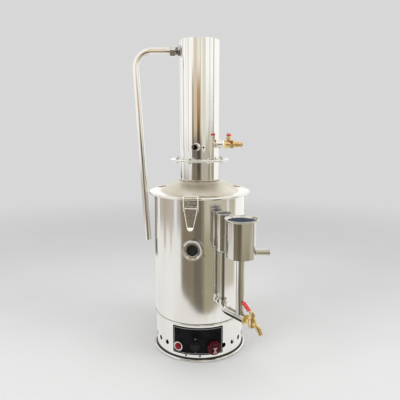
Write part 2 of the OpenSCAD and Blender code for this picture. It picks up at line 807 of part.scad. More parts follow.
// Point of the coil: share of the way out to the fittings, degrees from the inlet, height
function coil_point(share, a, z) =
  let (r = coil_r + share * (coil_reach_r - coil_r), az = inlet_az + a)
  [r * sin(az), -r * cos(az), z];
coil_path = concat(
  [for (row = lead_shares) coil_point(row[0], row[1], inlet_z)],
  [for (i = [0 : coil_rings]) coil_point(
    0, lead_turn + (coil_sweep - 2 * lead_turn) * i / coil_rings, inlet_z + (union_z - inlet_z) * i / coil_rings)],
  [for (i = [len(lead_shares) - 1 : -1 : 0]) coil_point(lead_shares[i][0], coil_sweep - lead_shares[i][1], union_z)]
);
function unit(v) = v / norm(v);
function tangent(p, i) = unit(p[min(i + 1, len(p) - 1)] - p[max(i - 1, 0)]);
function coil_ring(p, i) =
  let (t = tangent(p, i), side = unit(cross(t, [0, 0, 1])), up = cross(side, t))
  [for (k = [0 : coil_sides - 1])
    p[i] + coil_d / 2 * (cos(360 * k / coil_sides) * side + sin(360 * k / coil_sides) * up)];

module cooling_coil() color("lightsteelblue") {
  last = len(coil_path) - 1;
  polyhedron(
    points = [for (i = [0 : last], q = coil_ring(coil_path, i)) q],
    faces = concat(
      [[for (k = [0 : coil_sides - 1]) k]],
      [for (i = [0 : last - 1], k = [0 : coil_sides - 1], half = [0, 1])
        let (a = i * coil_sides + k, b = i * coil_sides + (k + 1) % coil_sides)
        half == 0 ? [a, a + coil_sides, b] : [b, a + coil_sides, b + coil_sides]],
      [[for (k = [coil_sides - 1 : -1 : 0]) last * coil_sides + k]]
    )
  );
}

module distillate_outlet() color("silver") {
  difference() {
    on_wall(outlet_az, fitting_in_r, outlet_z) cylinder(d = outlet_d, h = tube_r + outlet_reach - fitting_in_r);
    on_wall(outlet_az, fitting_in_r - 4 * wall_t, outlet_z)
      cylinder(d = outlet_bore_d, h = tube_r + outlet_reach - fitting_in_r + 8 * wall_t);
  }
  difference() {
    wall_weld(outlet_az, tube_r, outlet_z, outlet_d / 2, wall_t);
    on_wall(outlet_az, fitting_in_r, outlet_z) cylinder(d = outlet_d - wall_t, h = outlet_reach);
  }
}

module vent_nipple() color("silver") {
  difference() {
    union() {
      on_wall(vent_nipple_az, fitting_in_r, vent_nipple_z)
        cylinder(r = vent_nipple_r, h = tube_r + vent_nipple_reach - fitting_in_r);
      wall_weld(vent_nipple_az, tube_r, vent_nipple_z, vent_nipple_r, wall_t / 2);
    }
    on_wall(vent_nipple_az, fitting_in_r - cut, vent_nipple_z)
      cylinder(r = vent_nipple_bore_r, h = tube_r + vent_nipple_reach - fitting_in_r + 2 * cut);
  }
}

module inlet_socket() color("silver") {
  difference() {
    union() {
      on_wall(inlet_az, fitting_in_r, inlet_z) cylinder(d = socket_d, h = socket_end_r - fitting_in_r);
      wall_weld(inlet_az, tube_r, inlet_z, socket_d / 2, wall_t);
    }
    on_wall(inlet_az, fitting_in_r - cut, inlet_z)
      cylinder(r = valve_bore_r, h = socket_end_r - fitting_in_r + 2 * cut);
    on_wall(inlet_az, tube_r, inlet_z) cylinder(r = thread_r + fit, h = socket_reach + cut);
  }
}

module thread_tape() color("white") {
  difference() {
    on_wall(inlet_az, socket_end_r, inlet_z) cylinder(r = tape_r, h = tape_l);
    on_wall(inlet_az, socket_end_r - cut, inlet_z) cylinder(r = thread_r + fit, h = tape_l + 2 * cut);
  }
}

module inlet_valve_body() color("goldenrod") {
  difference() {
    union() {
      on_wall(inlet_az, tube_r + wall_t, inlet_z) cylinder(r = thread_r, h = valve_r0 - tube_r);
      on_wall(inlet_az, valve_r0, inlet_z) cylinder(d = barrel_d, h = valve_r1 - valve_r0);
      on_wall(inlet_az, valve_r1 - 0.26 * barrel_l, inlet_z) hex(1.06 * barrel_d, 0.2 * barrel_l);
      on_wall(inlet_az, valve_r0, inlet_z) hex(1.02 * barrel_d, 0.16 * barrel_l);
      rotate([0, 0, inlet_az]) translate([0, -valve_mid_r, 0]) {
        post(turret_r, inlet_z, turret_top_z);
        translate([0, 0, turret_top_z]) hex(gland_af, gland_h);
      }
    }
    on_wall(inlet_az, tube_r, inlet_z) cylinder(r = valve_bore_r, h = valve_r1 - tube_r + cut);
    on_wall(inlet_az, valve_mid_r + ball_r + fit, inlet_z) cylinder(r = tail_thread_r + fit, h = barrel_l);
    rotate([0, 0, inlet_az]) translate([0, -valve_mid_r, 0]) {
      translate([0, 0, inlet_z]) sphere(r = ball_r + run);
      post(stem_r + run, inlet_z, turret_top_z + gland_h + cut);
    }
  }
}

module inlet_valve_stem() color("lightgray") {
  rotate([0, 0, inlet_az]) translate([0, -valve_mid_r, 0]) {
    difference() {
      union() {
        translate([0, 0, inlet_z]) sphere(r = ball_r);
        post(stem_r, inlet_z, handle_z + handle_t);
        post(stem_collar_r, stem_collar_z, handle_z);
        post(stem_collar_r, handle_z + handle_t, handle_z + 1.4 * handle_t);
      }
      translate([0, 0, inlet_z]) rotate([0, 0, -handle_turn]) rotate([90, 0, 0])
        translate([0, 0, -barrel_d]) cylinder(r = valve_bore_r, h = 2 * barrel_d);
    }
  }
}

module inlet_handle() color("firebrick") {
  rotate([0, 0, inlet_az]) translate([0, -valve_mid_r, handle_z]) rotate([0, 0, handle_az - inlet_az])
    difference() {
      union() {
        cylinder(d = handle_w, h = handle_t);
        translate([-handle_w / 2, -handle_l + handle_w / 2, 0]) cube([handle_w, handle_l - handle_w / 2, handle_t]);
        translate([0, -handle_l + handle_w / 2, 0]) cylinder(d = handle_w, h = handle_t);
      }
      translate([0, 0, -cut]) cylinder(r = stem_r + fit, h = handle_t + 2 * cut);
    }
}

module hose_tail() color("goldenrod") {
  start_r = valve_mid_r + ball_r + 2 * fit;
  difference() {
    union() {
      on_wall(inlet_az, start_r, inlet_z) cylinder(r = tail_thread_r, h = valve_r1 - start_r);
      on_wall(inlet_az, valve_r1, inlet_z) cylinder(r1 = 1.15 * tail_thread_r, r2 = tail_r, h = 0.4 * tail_r);
      on_wall(inlet_az, start_r, inlet_z) cylinder(r = tail_r, h = tail_end_r - start_r);
    }
    on_wall(inlet_az, start_r - cut, inlet_z) cylinder(r = tail_bore_r, h = tail_end_r - start_r + 2 * cut);
  }
}

module union_spud() color("gray") {
  difference() {
    union() {
      on_wall(union_az, fitting_in_r, union_z) cylinder(r = spud_r, h = spud_end_r - fitting_in_r);
      difference() {
        on_wall(union_az, tube_in_r, union_z) hex(spud_hex_af, tube_r + spud_hex_l - tube_in_r);
        post(tube_r + fit, union_z - spud_hex_af, union_z + spud_hex_af);
      }
    }
    on_wall(union_az, fitting_in_r - cut, union_z) cylinder(r = spud_bore_r, h = spud_end_r - fitting_in_r + 2 * cut);
  }
}

module union_nut() color("silver") {
  difference() {
    on_wall(union_az, union_nut_r0, union_z) hex(union_nut_af, union_nut_l);
    on_wall(union_az, union_nut_r0 - cut, union_z)
      cylinder(r = spud_r + fit, h = pipe_start_r + pipe_collar_l + 2 * fit - union_nut_r0 + cut);
    on_wall(union_az, union_nut_r0 - cut, union_z) cylinder(r = pipe_r + run, h = union_nut_l + 2 * cut);
  }
}

// The pipe's path lies in the upright plane through the condenser's axis
module return_pipe() color("gainsboro") {
  translate([0, 0, union_z]) rotate([0, 0, union_az]) rotate([90, 0, -90]) {
    bent_tube(pipe_path, pipe_bend_r, pipe_r, pipe_r - pipe_wall);
    difference() {
      translate([pipe_start_r, 0, 0]) rotate([0, 90, 0]) cylinder(r = spud_r - fit, h = pipe_collar_l);
      translate([pipe_start_r - cut, 0, 0]) rotate([0, 90, 0])
        cylinder(r = pipe_r - pipe_wall / 2, h = pipe_collar_l + 2 * cut);
    }
  }
}

module sight_gasket() color("dimgray") {
  on_wall(sight_az, pot_r + seat_t, sight_z) difference() {
    cylinder(r = glass_r, h = sight_gasket_t);
    translate([0, 0, -cut]) cylinder(r = view_r, h = sight_gasket_t + 2 * cut);
  }
}

module sight_glass() color("darkslategray") {
  on_wall(sight_az, pot_r + glass_out, sight_z) cylinder(r = glass_r, h = glass_t);
}

module sight_bezel() color("silver") {
  cavity_l = bezel_back - seat_t;
  on_wall(sight_az, pot_r + seat_t, sight_z) rotate_extrude() polygon([
    [glass_r + fit, 0],
    [bezel_r, 0],
    [bezel_r, bezel_l - wall_t],
    [bezel_r - wall_t, bezel_l],
    [bezel_r - 2 * wall_t, bezel_l],
    [view_r + 3 * wall_t, cavity_l + wall_t],
    [view_r + 2.2 * wall_t, bezel_l - wall_t / 2],
    [view_r + wall_t / 2, bezel_l - wall_t / 2],
    [view_r, bezel_l - wall_t],
    [view_r, cavity_l],
    [glass_r + fit, cavity_l]
  ]);
}

module probe_screw() color("gold") {
  on_wall(probe_az, pot_r - probe_l, probe_z) cylinder(r = probe_r, h = probe_l + probe_head_l);
  difference() {
    on_wall(probe_az, pot_r - wall_t, probe_z) cylinder(r = probe_head_r, h = probe_head_l + wall_t);
    post(pot_r + fit, probe_z - 2 * probe_head_r, probe_z + 2 * probe_head_r);
  }
}

// Rod across a latch, along X, at radius r and height z
module cross_rod(r, z, x0, x1, rad) {
  translate([x0, -r, z]) rotate([0, 90, 0]) cylinder(r = rad, h = x1 - x0);
}

// Flat bar of a latch between two radii, two heights and two places along X
module latch_block(x0, x1, r0, r1, z0, z1) {
  translate([x0, -r1, z0]) cube([x1 - x0, r1 - r0, z1 - z0]);
}

module latch_plates() color("silver") {
  for (az = latch_azs) rotate([0, 0, az]) {
    intersection() {
      ring(pot_r + wall_t + fit, pot_r + fit, plate_low_z, plate_top_z);
      difference() {
        latch_block(-plate_w / 2, plate_w / 2, pot_r / 2, pivot_r, plate_low_z, plate_top_z);
        for (side = [-1, 1]) translate([side * rivet_x, 0, 0])
          on_wall(0, pot_r - 4 * wall_t, rivet_z) cylinder(r = rivet_r + fit, h = 8 * wall_t);
      }
    }
    for (side = [-1, 1]) difference() {
      union() {
        latch_block(side > 0 ? plate_ear_x : -plate_ear_x - ear_t, side > 0 ? plate_ear_x + ear_t : -plate_ear_x,
          pot_r - wall_t, pivot_r, pivot_z - 1.5 * ear_r, pivot_z + 0.45 * ear_r);
        cross_rod(pivot_r, pivot_z, side > 0 ? plate_ear_x : -plate_ear_x - ear_t,
          side > 0 ? plate_ear_x + ear_t : -plate_ear_x, ear_r);
      }
      post(pot_r + fit, plate_low_z, plate_top_z);
    }
    cross_rod(pivot_r, pivot_z, -lever_w / 2 - fit, lever_w / 2 + fit, pivot_pin_r);
  }
}

module latch_rivets() color("lightgray") {
  for (az = latch_azs, side = [-1, 1]) rotate([0, 0, az]) translate([side * rivet_x, 0, 0]) {
    on_wall(0, pot_in_r - 2 * wall_t, rivet_z) cylinder(r = rivet_r, h = 5.6 * wall_t);
    on_wall(0, pot_r + wall_t + fit, rivet_z) cylinder(r1 = rivet_head_r, r2 = rivet_r, h = rivet_head_h);
    on_wall(0, pot_in_r - 2.2 * wall_t, rivet_z) cylinder(r = rivet_head_r, h = wall_t);
  }
}

// Lever plate seen from the front, from its top edge down to the rounded tip
module lever_outline(inset) {
  polygon([
    [-lever_w / 2 + inset, pivot_pin_r / 2],
    [lever_w / 2 - inset, pivot_pin_r / 2],
    [lever_w / 2 - inset, -bail_throw - ear_r],
    [lever_tip_w / 2 - inset, -lever_l + lever_tip_w / 2],
    [-lever_tip_w / 2 + inset, -lever_l + lever_tip_w / 2],
    [-lever_w / 2 + inset, -bail_throw - ear_r]
  ]);
}

module latch_lever(az) color("silver") {
  rotate([0, 0, az]) difference() {
    union() {
      translate([0, -pivot_r - lever_face, pivot_z]) rotate([-lever_lean, 0, 0]) rotate([90, 0, 0]) {
        linear_extrude(lever_t) lever_outline(0);
        translate([0, -lever_l + lever_tip_w / 2, 0]) cylinder(d = lever_tip_w, h = lever_t);
        translate([0, 0, -2 * lever_t]) linear_extrude(2 * lever_t) difference() {
          lever_outline(0);
          lever_outline(lever_t);
          translate([-lever_w, -bail_throw - ear_r]) square([2 * lever_w, bail_throw + 2 * ear_r]);
          translate([-lever_w, -2 * lever_l + lever_tip_w / 2]) square([2 * lever_w, lever_l + lever_t]);
        }
        translate([-lever_tip_w / 3, -lever_l + lip_r, lever_t]) rotate([0, 90, 0])
          cylinder(r = lip_r, h = 2 * lever_tip_w / 3);
      }
      for (x = [-lever_w / 2, lever_ear_x]) {
        latch_block(x, x + lever_ear_t, pivot_r, pivot_r + lever_face + lever_t / 2, bail_z - ear_r / 2, pivot_z);
        cross_rod(pivot_r, pivot_z, x, x + lever_ear_t, ear_r);
        cross_rod(pivot_r, bail_z, x, x + lever_ear_t, ear_r);
      }
    }
    cross_rod(pivot_r, pivot_z, -lever_w, lever_w, pivot_pin_r + run);
    cross_rod(pivot_r, bail_z, -lever_w, lever_w, wire_r + run);
  }
}

module latch_lever_front() latch_lever(latch_azs[0]);

module latch_lever_right() latch_lever(latch_azs[1]);

module latch_lever_left() latch_lever(latch_azs[2]);

// Wire bail: hooks over the lid's rim and turns in the lever's ears
module latch_bail(az) color("lightgray") {
  knee = [bail_out_r, bail_knee_z];
  foot = [pivot_r, bail_z];
  slope = knee - foot;
  lift = atan2(slope.x, slope.y);
  rotate([0, 0, az]) {
    for (side = [0, 1]) mirror([side, 0, 0]) {
      translate([0, -pivot_r, bail_z]) rotate([90 + lift, 0, 0])
        bent_rod([[lever_ear_x - fit, 0], [bail_x, 0], [bail_x, norm(slope)]], bail_bend, wire_r);
      translate([bail_x, -knee.x, knee.y]) sphere(r = wire_r + bend_proud);
      translate([bail_x, 0, 0]) rotate([90, 0, -90])
        bent_rod([knee, [bail_out_r, bar_z], [bar_r + bail_corner - lap, bar_z]], bail_corner, wire_r);
    }
    translate([0, 0, bar_z]) bent_rod([
      [-bail_x, -bar_r - bail_corner - lap], [-bail_x, -bar_r], [bail_x, -bar_r], [bail_x, -bar_r - bail_corner - lap]
    ], bail_corner, wire_r);
  }
}

module latch_bail_front() latch_bail(latch_azs[0]);

module latch_bail_right() latch_bail(latch_azs[1]);

module latch_bail_left() latch_bail(latch_azs[2]);

// Run, elbow, stub to the pot and riser to the cup, as one welded piece
module feed_pipe() color("gainsboro") {
  path = [[0, elbow_top_z], [0, arm_z], [arm_l, arm_z]];
  difference() {
    union() {
      on_arm() rotate([90, 0, 0]) bent_rod(path, arm_bend_r, arm_r);
      on_arm() translate([cup_reach, 0, 0]) post(riser_tube_r, arm_z, cup_z + cup_wall);
      difference() {
        on_wall(stub_az, pot_in_r - wall_t, stub_z) cylinder(r = stub_r, h = stub_end_r - pot_in_r + wall_t);
        on_arm() rotate([90, 0, 0]) bent_rod(path, arm_bend_r, arm_bore_r);
      }
      wall_weld(stub_az, pot_r, stub_z, stub_r, wall_t);
    }
    on_arm() rotate([90, 0, 0])
      bent_rod([[0, elbow_top_z - arm_wall], [0, arm_z], [arm_l + cut, arm_z]], arm_bend_r, arm_bore_r);
    on_arm() translate([cup_reach, 0, 0]) post(riser_bore_r, arm_z, cup_z + cup_wall + cut);
    on_wall(stub_az, pot_in_r - 4 * wall_t, stub_z) cylinder(r = stub_bore_r, h = stub_end_r - pot_in_r + 4 * wall_t);
    on_arm() post(vent_tube_r + fit, elbow_top_z - 2 * arm_wall, elbow_top_z + cut);
  }
}

module water_cup() color("silver") {
  flare_z = cup_top_z - cup_lip_r - cup_flare;
  translate([cup_x, cup_y, 0]) difference() {
    union() {
      post(cup_r, cup_z, flare_z + cup_wall / 2);
      translate([0, 0, flare_z]) cylinder(r1 = cup_r, r2 = cup_r + cup_flare, h = cup_flare);
      bead(cup_r + cup_flare, cup_lip_r, cup_top_z - cup_lip_r);
      on_wall(90, cup_r / 2, overflow_z) cylinder(r = overflow_r, h = cup_r / 2 + overflow_reach);
      on_wall(90, cup_r - cup_wall, overflow_z)
        cylinder(r1 = overflow_r + 2 * cup_wall, r2 = overflow_r, h = 3 * cup_wall);
      translate([0, 0, cup_z - 2 * cup_wall])
        cylinder(r1 = riser_tube_r + fit, r2 = riser_tube_r + 2 * cup_wall, h = 2 * cup_wall);
    }
    post(cup_r - cup_wall, cup_z + cup_wall, cup_top_z + cut);
    translate([0, 0, flare_z + cup_wall])
      cylinder(r1 = cup_r - cup_wall, r2 = cup_r + cup_flare, h = cup_flare + cup_wall);
    on_wall(90, 0, overflow_z) cylinder(r = overflow_bore_r, h = cup_r + overflow_reach + cut);
    post(riser_tube_r + fit, cup_z - 4 * cup_wall, cup_z + 4 * cup_wall);
  }
}

// Narrow vent cup with its thin pipe down to the elbow
module vent_cup() color("silver") {
  translate([vent_x, vent_y, 0]) difference() {
    union() {
      drum(vent_cup_r, vent_edge_r, vent_cup_z, vent_cup_top_z - vent_lip_r);
      bead(vent_cup_r + vent_lip_r - cup_wall / 4, vent_lip_r, vent_cup_top_z - vent_lip_r);
      post(vent_tube_r, elbow_top_z - arm_wall, vent_cup_z + cup_wall);
      translate([0, 0, vent_cup_z - 2 * cup_wall])
        cylinder(r1 = vent_tube_r, r2 = vent_tube_r + 2 * cup_wall, h = 2 * cup_wall);
    }
    drum(vent_cup_r - cup_wall, vent_edge_r - cup_wall, vent_cup_z + cup_wall, vent_cup_top_z + cut);
    post(vent_tube_bore_r, elbow_top_z - 2 * arm_wall, vent_cup_z + 2 * cup_wall);
  }
}

// Round bar along the feed pipe's line
module arm_bar(x0, x1, r, r_end) {
  translate([x0, 0, arm_z]) rotate([0, 90, 0]) cylinder(r1 = r, r2 = r_end, h = x1 - x0);
}

module tap_body() color("goldenrod") {
  on_arm() difference() {
    union() {
      arm_bar(arm_l - tap_thread_l, arm_l + lap, tap_thread_r, tap_thread_r);
      arm_bar(arm_l, arm_l + collar_l / 2, collar_r, collar_r);
      arm_bar(arm_l + collar_l / 2 - lap, arm_l + collar_l, collar_r, tap_neck_r);
      arm_bar(arm_l + collar_l / 2, tap_stem_x, tap_neck_r, tap_neck_r);
      translate([tap_stem_x, 0, 0]) drum(tap_barrel_r, tap_barrel_edge_r, tap_barrel_low_z, tap_barrel_top_z);
      translate([tap_stem_x, 0, 0]) post(tap_turret_r, arm_z, tap_turret_z);
      rotate([90, 0, 0]) bent_rod([[tap_stem_x, arm_z], spout_corner, spout_tip], spout_bend_r, spout_r);
    }
    arm_bar(arm_l - tap_thread_l - cut, tap_stem_x, tap_bore_r, tap_bore_r);
    rotate([90, 0, 0]) bent_rod(overrun([[tap_stem_x, arm_z], spout_corner, spout_tip]), spout_bend_r, spout_bore_r);
    translate([tap_stem_x, 0, arm_z]) sphere(r = tap_ball_r + run);
    translate([tap_stem_x, 0, 0]) post(tap_stem_r + run, arm_z, tap_turret_z + cut);
  }
}

module tap_plug() color("darkgoldenrod") {
  on_arm() translate([tap_stem_x, 0, 0]) difference() {
    union() {
      translate([0, 0, arm_z]) sphere(r = tap_ball_r);
      post(tap_stem_r, arm_z, tap_lever_z + tap_lever_t + tap_nut_h);
      translate([0, 0, tap_lever_z + tap_lever_t]) hex(tap_nut_af, tap_nut_h);
    }
    translate([-2 * tap_ball_r, 0, arm_z]) rotate([0, 90, 0]) cylinder(r = tap_bore_r, h = 4 * tap_ball_r);
  }
}

module tap_bonnet() color("goldenrod") {
  on_arm() translate([tap_stem_x, 0, tap_turret_z]) difference() {
    hex(bonnet_af, bonnet_h);
    translate([0, 0, -cut]) cylinder(r = tap_stem_r + run, h = bonnet_h + 2 * cut);
  }
}

module tap_lever() color("lightgray") {
  end = [-tap_bend_x - tap_lever_l * cos(tap_lever_rise), tap_lever_l * sin(tap_lever_rise)];
  on_arm() translate([tap_stem_x, 0, tap_lever_z]) difference() {
    union() {
      cylinder(r = tap_hub_r, h = tap_lever_t);
      translate([0, tap_lever_w / 2, 0]) rotate([90, 0, 0]) linear_extrude(tap_lever_w) polygon([
        [0, 0],
        [0, tap_lever_t],
        [-tap_bend_x + tap_lever_t * tan(tap_lever_rise / 2), tap_lever_t],
        end + tap_lever_t * [sin(tap_lever_rise), cos(tap_lever_rise)],
        end,
        [-tap_bend_x, 0]
      ]);
    }
    translate([0, 0, -cut]) cylinder(r = tap_stem_r + fit, h = tap_lever_t + 2 * cut);
  }
}

// Frame of the lever's raised part: +X out along it
module tap_lever_slope() {
  translate([-tap_bend_x, 0, 0]) rotate([0, 0, 180]) rotate([0, -tap_lever_rise, 0])
    translate([0, 0, tap_lever_t / 2]) children();
}

module lever_sleeve() color("red") {
  on_arm() translate([tap_stem_x, 0, tap_lever_z]) tap_lever_slope()
    translate([tap_lever_l - sleeve_l, 0, 0]) rotate([90, 0, 90]) difference() {
      linear_extrude(sleeve_l + sleeve_wall) {
        translate([-sleeve_w / 2 + sleeve_t / 2, -sleeve_t / 2]) square([sleeve_w - sleeve_t, sleeve_t]);
        for (side = [-1, 1]) translate([side * (sleeve_w - sleeve_t) / 2, 0]) circle(d = sleeve_t);
      }
      translate([-tap_lever_w / 2 - fit, -tap_lever_t / 2 - fit, -cut])
        cube([tap_lever_w + 2 * fit, tap_lever_t + 2 * fit, sleeve_l + fit + cut]);
    }
}

module control_panel() color("black") {
  difference() {
    translate([0, 0, panel_z]) rotate([0, 0, panel_az0 - 90]) rotate_extrude(angle = panel_az1 - panel_az0)
      translate([panel_r, 0]) square([panel_t, panel_h]);
    panel_holes(skirt_r - 4 * wall_t, 8 * wall_t);
  }
}

module panel_screws() color("silver") {
  for (z = panel_screw_zs) {
    on_wall(panel_screw_az, skirt_r - 3 * wall_t, z)
      cylinder(r = panel_screw_r, h = panel_out_r + fit - skirt_r + 3 * wall_t);
    on_wall(panel_screw_az, panel_out_r + fit, z)
      cylinder(r1 = panel_screw_head_r, r2 = panel_screw_r, h = panel_screw_head_l);
  }
}

// Fitting on the panel: front flange with its back cut to the panel's curve
module panel_flange(az, z, r, l) {
  difference() {
    on_wall(az, skirt_r, z) cylinder(r = r, h = panel_out_r + l - skirt_r);
    post(panel_out_r + fit, z - 2 * r, z + 2 * r);
  }
}

module lamp_body() color("lightgray") {
  difference() {
    union() {
      panel_flange(lamp_az, lamp_z, lamp_r, lamp_bezel_l);
      on_wall(lamp_az, lamp_back_r, lamp_z) cylinder(r = lamp_barrel_r, h = panel_out_r + lamp_bezel_l - lamp_back_r);
    }
    on_wall(lamp_az, panel_out_r + lens_floor, lamp_z) cylinder(r = lens_r + fit, h = lamp_bezel_l + cut);
  }
}

module lamp_lens() color("red") {
  crown_r = (lens_r * lens_r + lens_dome * lens_dome) / (2 * lens_dome);
  on_wall(lamp_az, panel_out_r + lens_floor + fit, lamp_z) {
    intersection() {
      translate([0, 0, lens_l + lens_dome - crown_r]) sphere(r = crown_r);
      cylinder(r = lens_r, h = lens_l + 2 * lens_dome);
    }
  }
}

module button_body() color("dimgray") {
  difference() {
    union() {
      panel_flange(button_az, button_z, button_ring_r, button_ring_l);
      on_wall(button_az, button_back_r, button_z)
        cylinder(r = button_barrel_r, h = panel_out_r + button_ring_l - button_back_r);
    }
    on_wall(button_az, button_back_r + wall_t, button_z) cylinder(r = button_r + run, h = 4 * button_ring_r);
  }
}

module reset_button() color("black") {
  on_wall(button_az, panel_out_r + button_ring_l + button_proud - button_l, button_z)
    cylinder(r = button_r, h = button_l);
}

module selector_base() color("dimgray") {
  difference() {
    union() {
      panel_flange(knob_az, knob_z, switch_flange_r, switch_flange_l);
      on_wall(knob_az, switch_back_r, knob_z)
        cylinder(r = switch_barrel_r, h = panel_out_r + switch_flange_l - switch_back_r);
    }
    on_wall(knob_az, switch_back_r + wall_t, knob_z) cylinder(r = spindle_r + run, h = 4 * knob_r);
  }
}

module selector_knob() color("darkred") {
  on_wall(knob_az, panel_out_r + switch_flange_l + seat_gap, knob_z) {
    cylinder(r = knob_r, h = knob_l / 2);
    translate([0, 0, knob_l / 2]) cylinder(r1 = knob_r, r2 = 0.86 * knob_r, h = knob_l / 2);
    translate([0, 0, knob_l]) linear_extrude(grip_l) polygon([for (p = grip_shares) knob_r * p]);
    translate([0, 0, -knob_r]) cylinder(r = spindle_r, h = knob_r + knob_l / 2);
  }
}

// Legs of the heater rings, from the bend down through the pot's floor
module heater_legs(r) {
  for (ring_r = heater_ring_rs, end = [0, 1]) rotate([0, 0, end * heater_sweep]) mirror([0, end, 0])
    translate([ring_r, -heater_bend_r, 0]) post(r, heater_low_z, heater_z - heater_bend_r);
}

module heater_elements() color("slategray") {
  for (ring_r = heater_ring_rs) {
    translate([0, 0, heater_z]) rotate_extrude(angle = heater_sweep) translate([ring_r, 0]) circle(r = heater_rod_r);
    for (end = [0, 1]) rotate([0, 0, end * heater_sweep]) mirror([0, end, 0]) {
      translate([ring_r, 0, heater_z - heater_bend_r]) rotate([90, 0, 90])
        rotate([0, 0, 90 - atan(lap / heater_bend_r)]) rotate_extrude(angle = 90 + 2 * atan(lap / heater_bend_r))
          translate([heater_bend_r, 0]) circle(r = heater_rod_r + bend_proud);
      translate([ring_r, -heater_bend_r, 0]) post(terminal_pin_r, heater_low_z - terminal_pin_l, heater_low_z + lap);
    }
  }
  heater_legs(heater_rod_r);
}

module heater_nuts() color("goldenrod") {
  for (ring_r = heater_ring_rs, end = [0, 1]) rotate([0, 0, end * heater_sweep]) mirror([0, end, 0])
    translate([ring_r, -heater_bend_r, pot_z - heater_nut_h]) difference() {
      hex(heater_nut_af, heater_nut_h);
      translate([0, 0, -cut]) cylinder(r = heater_rod_r + fit, h = heater_nut_h + 2 * cut);
    }
}

module terminal_block() color("ivory") {
  difference() {
    translate([-block_l / 2, block_y - block_w / 2, plate_t]) cube([block_l, block_w, block_h]);
    for (i = [0 : block_holes - 1])
      translate([block_l * ((i + 0.5) / block_holes - 0.5), block_y, plate_t + block_h / 2])
        cylinder(d = block_w / 3, h = block_h);
  }
}

module cable_gland() color("dimgray") {
  difference() {
    union() {
      difference() {
        on_wall(gland_az, skirt_r - wall_t, gland_z) cylinder(r = gland_flange_r, h = gland_flange_l + wall_t);
        post(skirt_r + fit, gland_z - 2 * gland_flange_r, gland_z + 2 * gland_flange_r);
      }
      on_wall(gland_az, skirt_r - 3 * wall_t - gland_nut_l, gland_z)
        cylinder(r = gland_thread_r, h = gland_flange_l + 3 * wall_t + gland_nut_l);
      on_wall(gland_az, skirt_r - 1.5 * wall_t - gland_nut_l, gland_z) hex(2 * gland_flange_r * cos(30), gland_nut_l);
      on_wall(gland_az, skirt_r + gland_flange_l, gland_z)
        cylinder(r1 = gland_cap_r, r2 = 0.72 * gland_cap_r, h = gland_cap_l);
    }
    on_wall(gland_az, skirt_r / 2, gland_z) cylinder(r = gland_bore_r, h = skirt_r);
  }
}

base_ring();
bottom_plate();
foot_seal();
base_skirt();
boiler_pot();
lid_gasket();
lid_dome();
neck_tube();
lower_flange();
flange_gasket();
upper_flange();
flange_bolts();
flange_nuts();
condenser_shell();
condenser_cap();
drip_tray();
cooling_coil();
distillate_outlet();
vent_nipple();
inlet_socket();
thread_tape();
inlet_valve_body();
inlet_valve_stem();
inlet_handle();
hose_tail();
union_spud();
union_nut();
return_pipe();
sight_gasket();
sight_glass();
sight_bezel();
probe_screw();
latch_plates();
latch_rivets();
latch_lever_front();
latch_lever_right();
latch_lever_left();
latch_bail_front();
latch_bail_right();
latch_bail_left();
feed_pipe();
water_cup();
vent_cup();
tap_body();
tap_plug();
tap_bonnet();
tap_lever();
lever_sleeve();
control_panel();
panel_screws();
lamp_body();
lamp_lens();
button_body();
reset_button();
selector_base();
selector_knob();
heater_elements();
heater_nuts();
terminal_block();
cable_gland();
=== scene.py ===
# Stainless steel water distiller: finishes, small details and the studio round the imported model.
import bpy
import bmesh
from math import sin, cos, tan, pi, radians, degrees
from mathutils import Vector, Matrix


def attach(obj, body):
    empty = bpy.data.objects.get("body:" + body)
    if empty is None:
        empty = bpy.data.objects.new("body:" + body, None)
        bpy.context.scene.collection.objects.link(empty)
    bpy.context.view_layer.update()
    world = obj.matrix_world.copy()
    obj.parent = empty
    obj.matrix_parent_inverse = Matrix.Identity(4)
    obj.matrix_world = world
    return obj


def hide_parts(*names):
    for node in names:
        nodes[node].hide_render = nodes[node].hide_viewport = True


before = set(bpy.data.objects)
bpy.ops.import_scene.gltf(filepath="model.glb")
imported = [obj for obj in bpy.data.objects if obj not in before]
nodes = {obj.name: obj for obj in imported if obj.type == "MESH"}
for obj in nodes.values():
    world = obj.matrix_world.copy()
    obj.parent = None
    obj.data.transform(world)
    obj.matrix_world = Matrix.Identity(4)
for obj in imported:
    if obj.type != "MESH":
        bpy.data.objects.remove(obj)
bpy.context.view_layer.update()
mm = 0.001  # sizes below are in millimetres
print("frame loaded:", len(nodes), "nodes")


def onWall(az, r, z):
    # A place on a round wall: +Z out of it, +Y up, +X to the right; az in degrees from the front
    a = radians(az)
    return Matrix(((cos(a), 0, sin(a), r * sin(a) * mm),
                   (sin(a), 0, -cos(a), -r * cos(a) * mm),
                   (0, 1, 0, z * mm),
                   (0, 0, 0, 1)))


def atHeight(z):
    return Matrix.Translation((0, 0, z * mm))


def setShader(shader, color, metallic, roughness, **sockets):
    # An underscore in a socket's name stands for a space
    shader.inputs["Base Color"].default_value = (*color, 1)
    shader.inputs["Metallic"].default_value = metallic
    shader.inputs["Roughness"].default_value = roughness
    for socket, value in sockets.items():
        shader.inputs[socket.replace("_", " ")].default_value = value
    return shader


def newFinish(name, color, metallic, roughness, **sockets):
    finish = bpy.data.materials.new(name)
    finish.use_nodes = True
    setShader(finish.node_tree.nodes["Principled BSDF"], color, metallic, roughness, **sockets)
    return finish


def secondShader(finish, color, metallic, roughness):
    return setShader(finish.node_tree.nodes.new("ShaderNodeBsdfPrincipled"), color, metallic, roughness)


def outputOf(tree):
    return next(node for node in tree.nodes if node.type == "OUTPUT_MATERIAL")


def mixShaders(tree, share, first, second, out):
    mix = tree.nodes.new("ShaderNodeMixShader")
    tree.links.new(share, mix.inputs["Fac"])
    tree.links.new(first, mix.inputs[1])
    tree.links.new(second, mix.inputs[2])
    tree.links.new(mix.outputs["Shader"], out.inputs["Surface"])


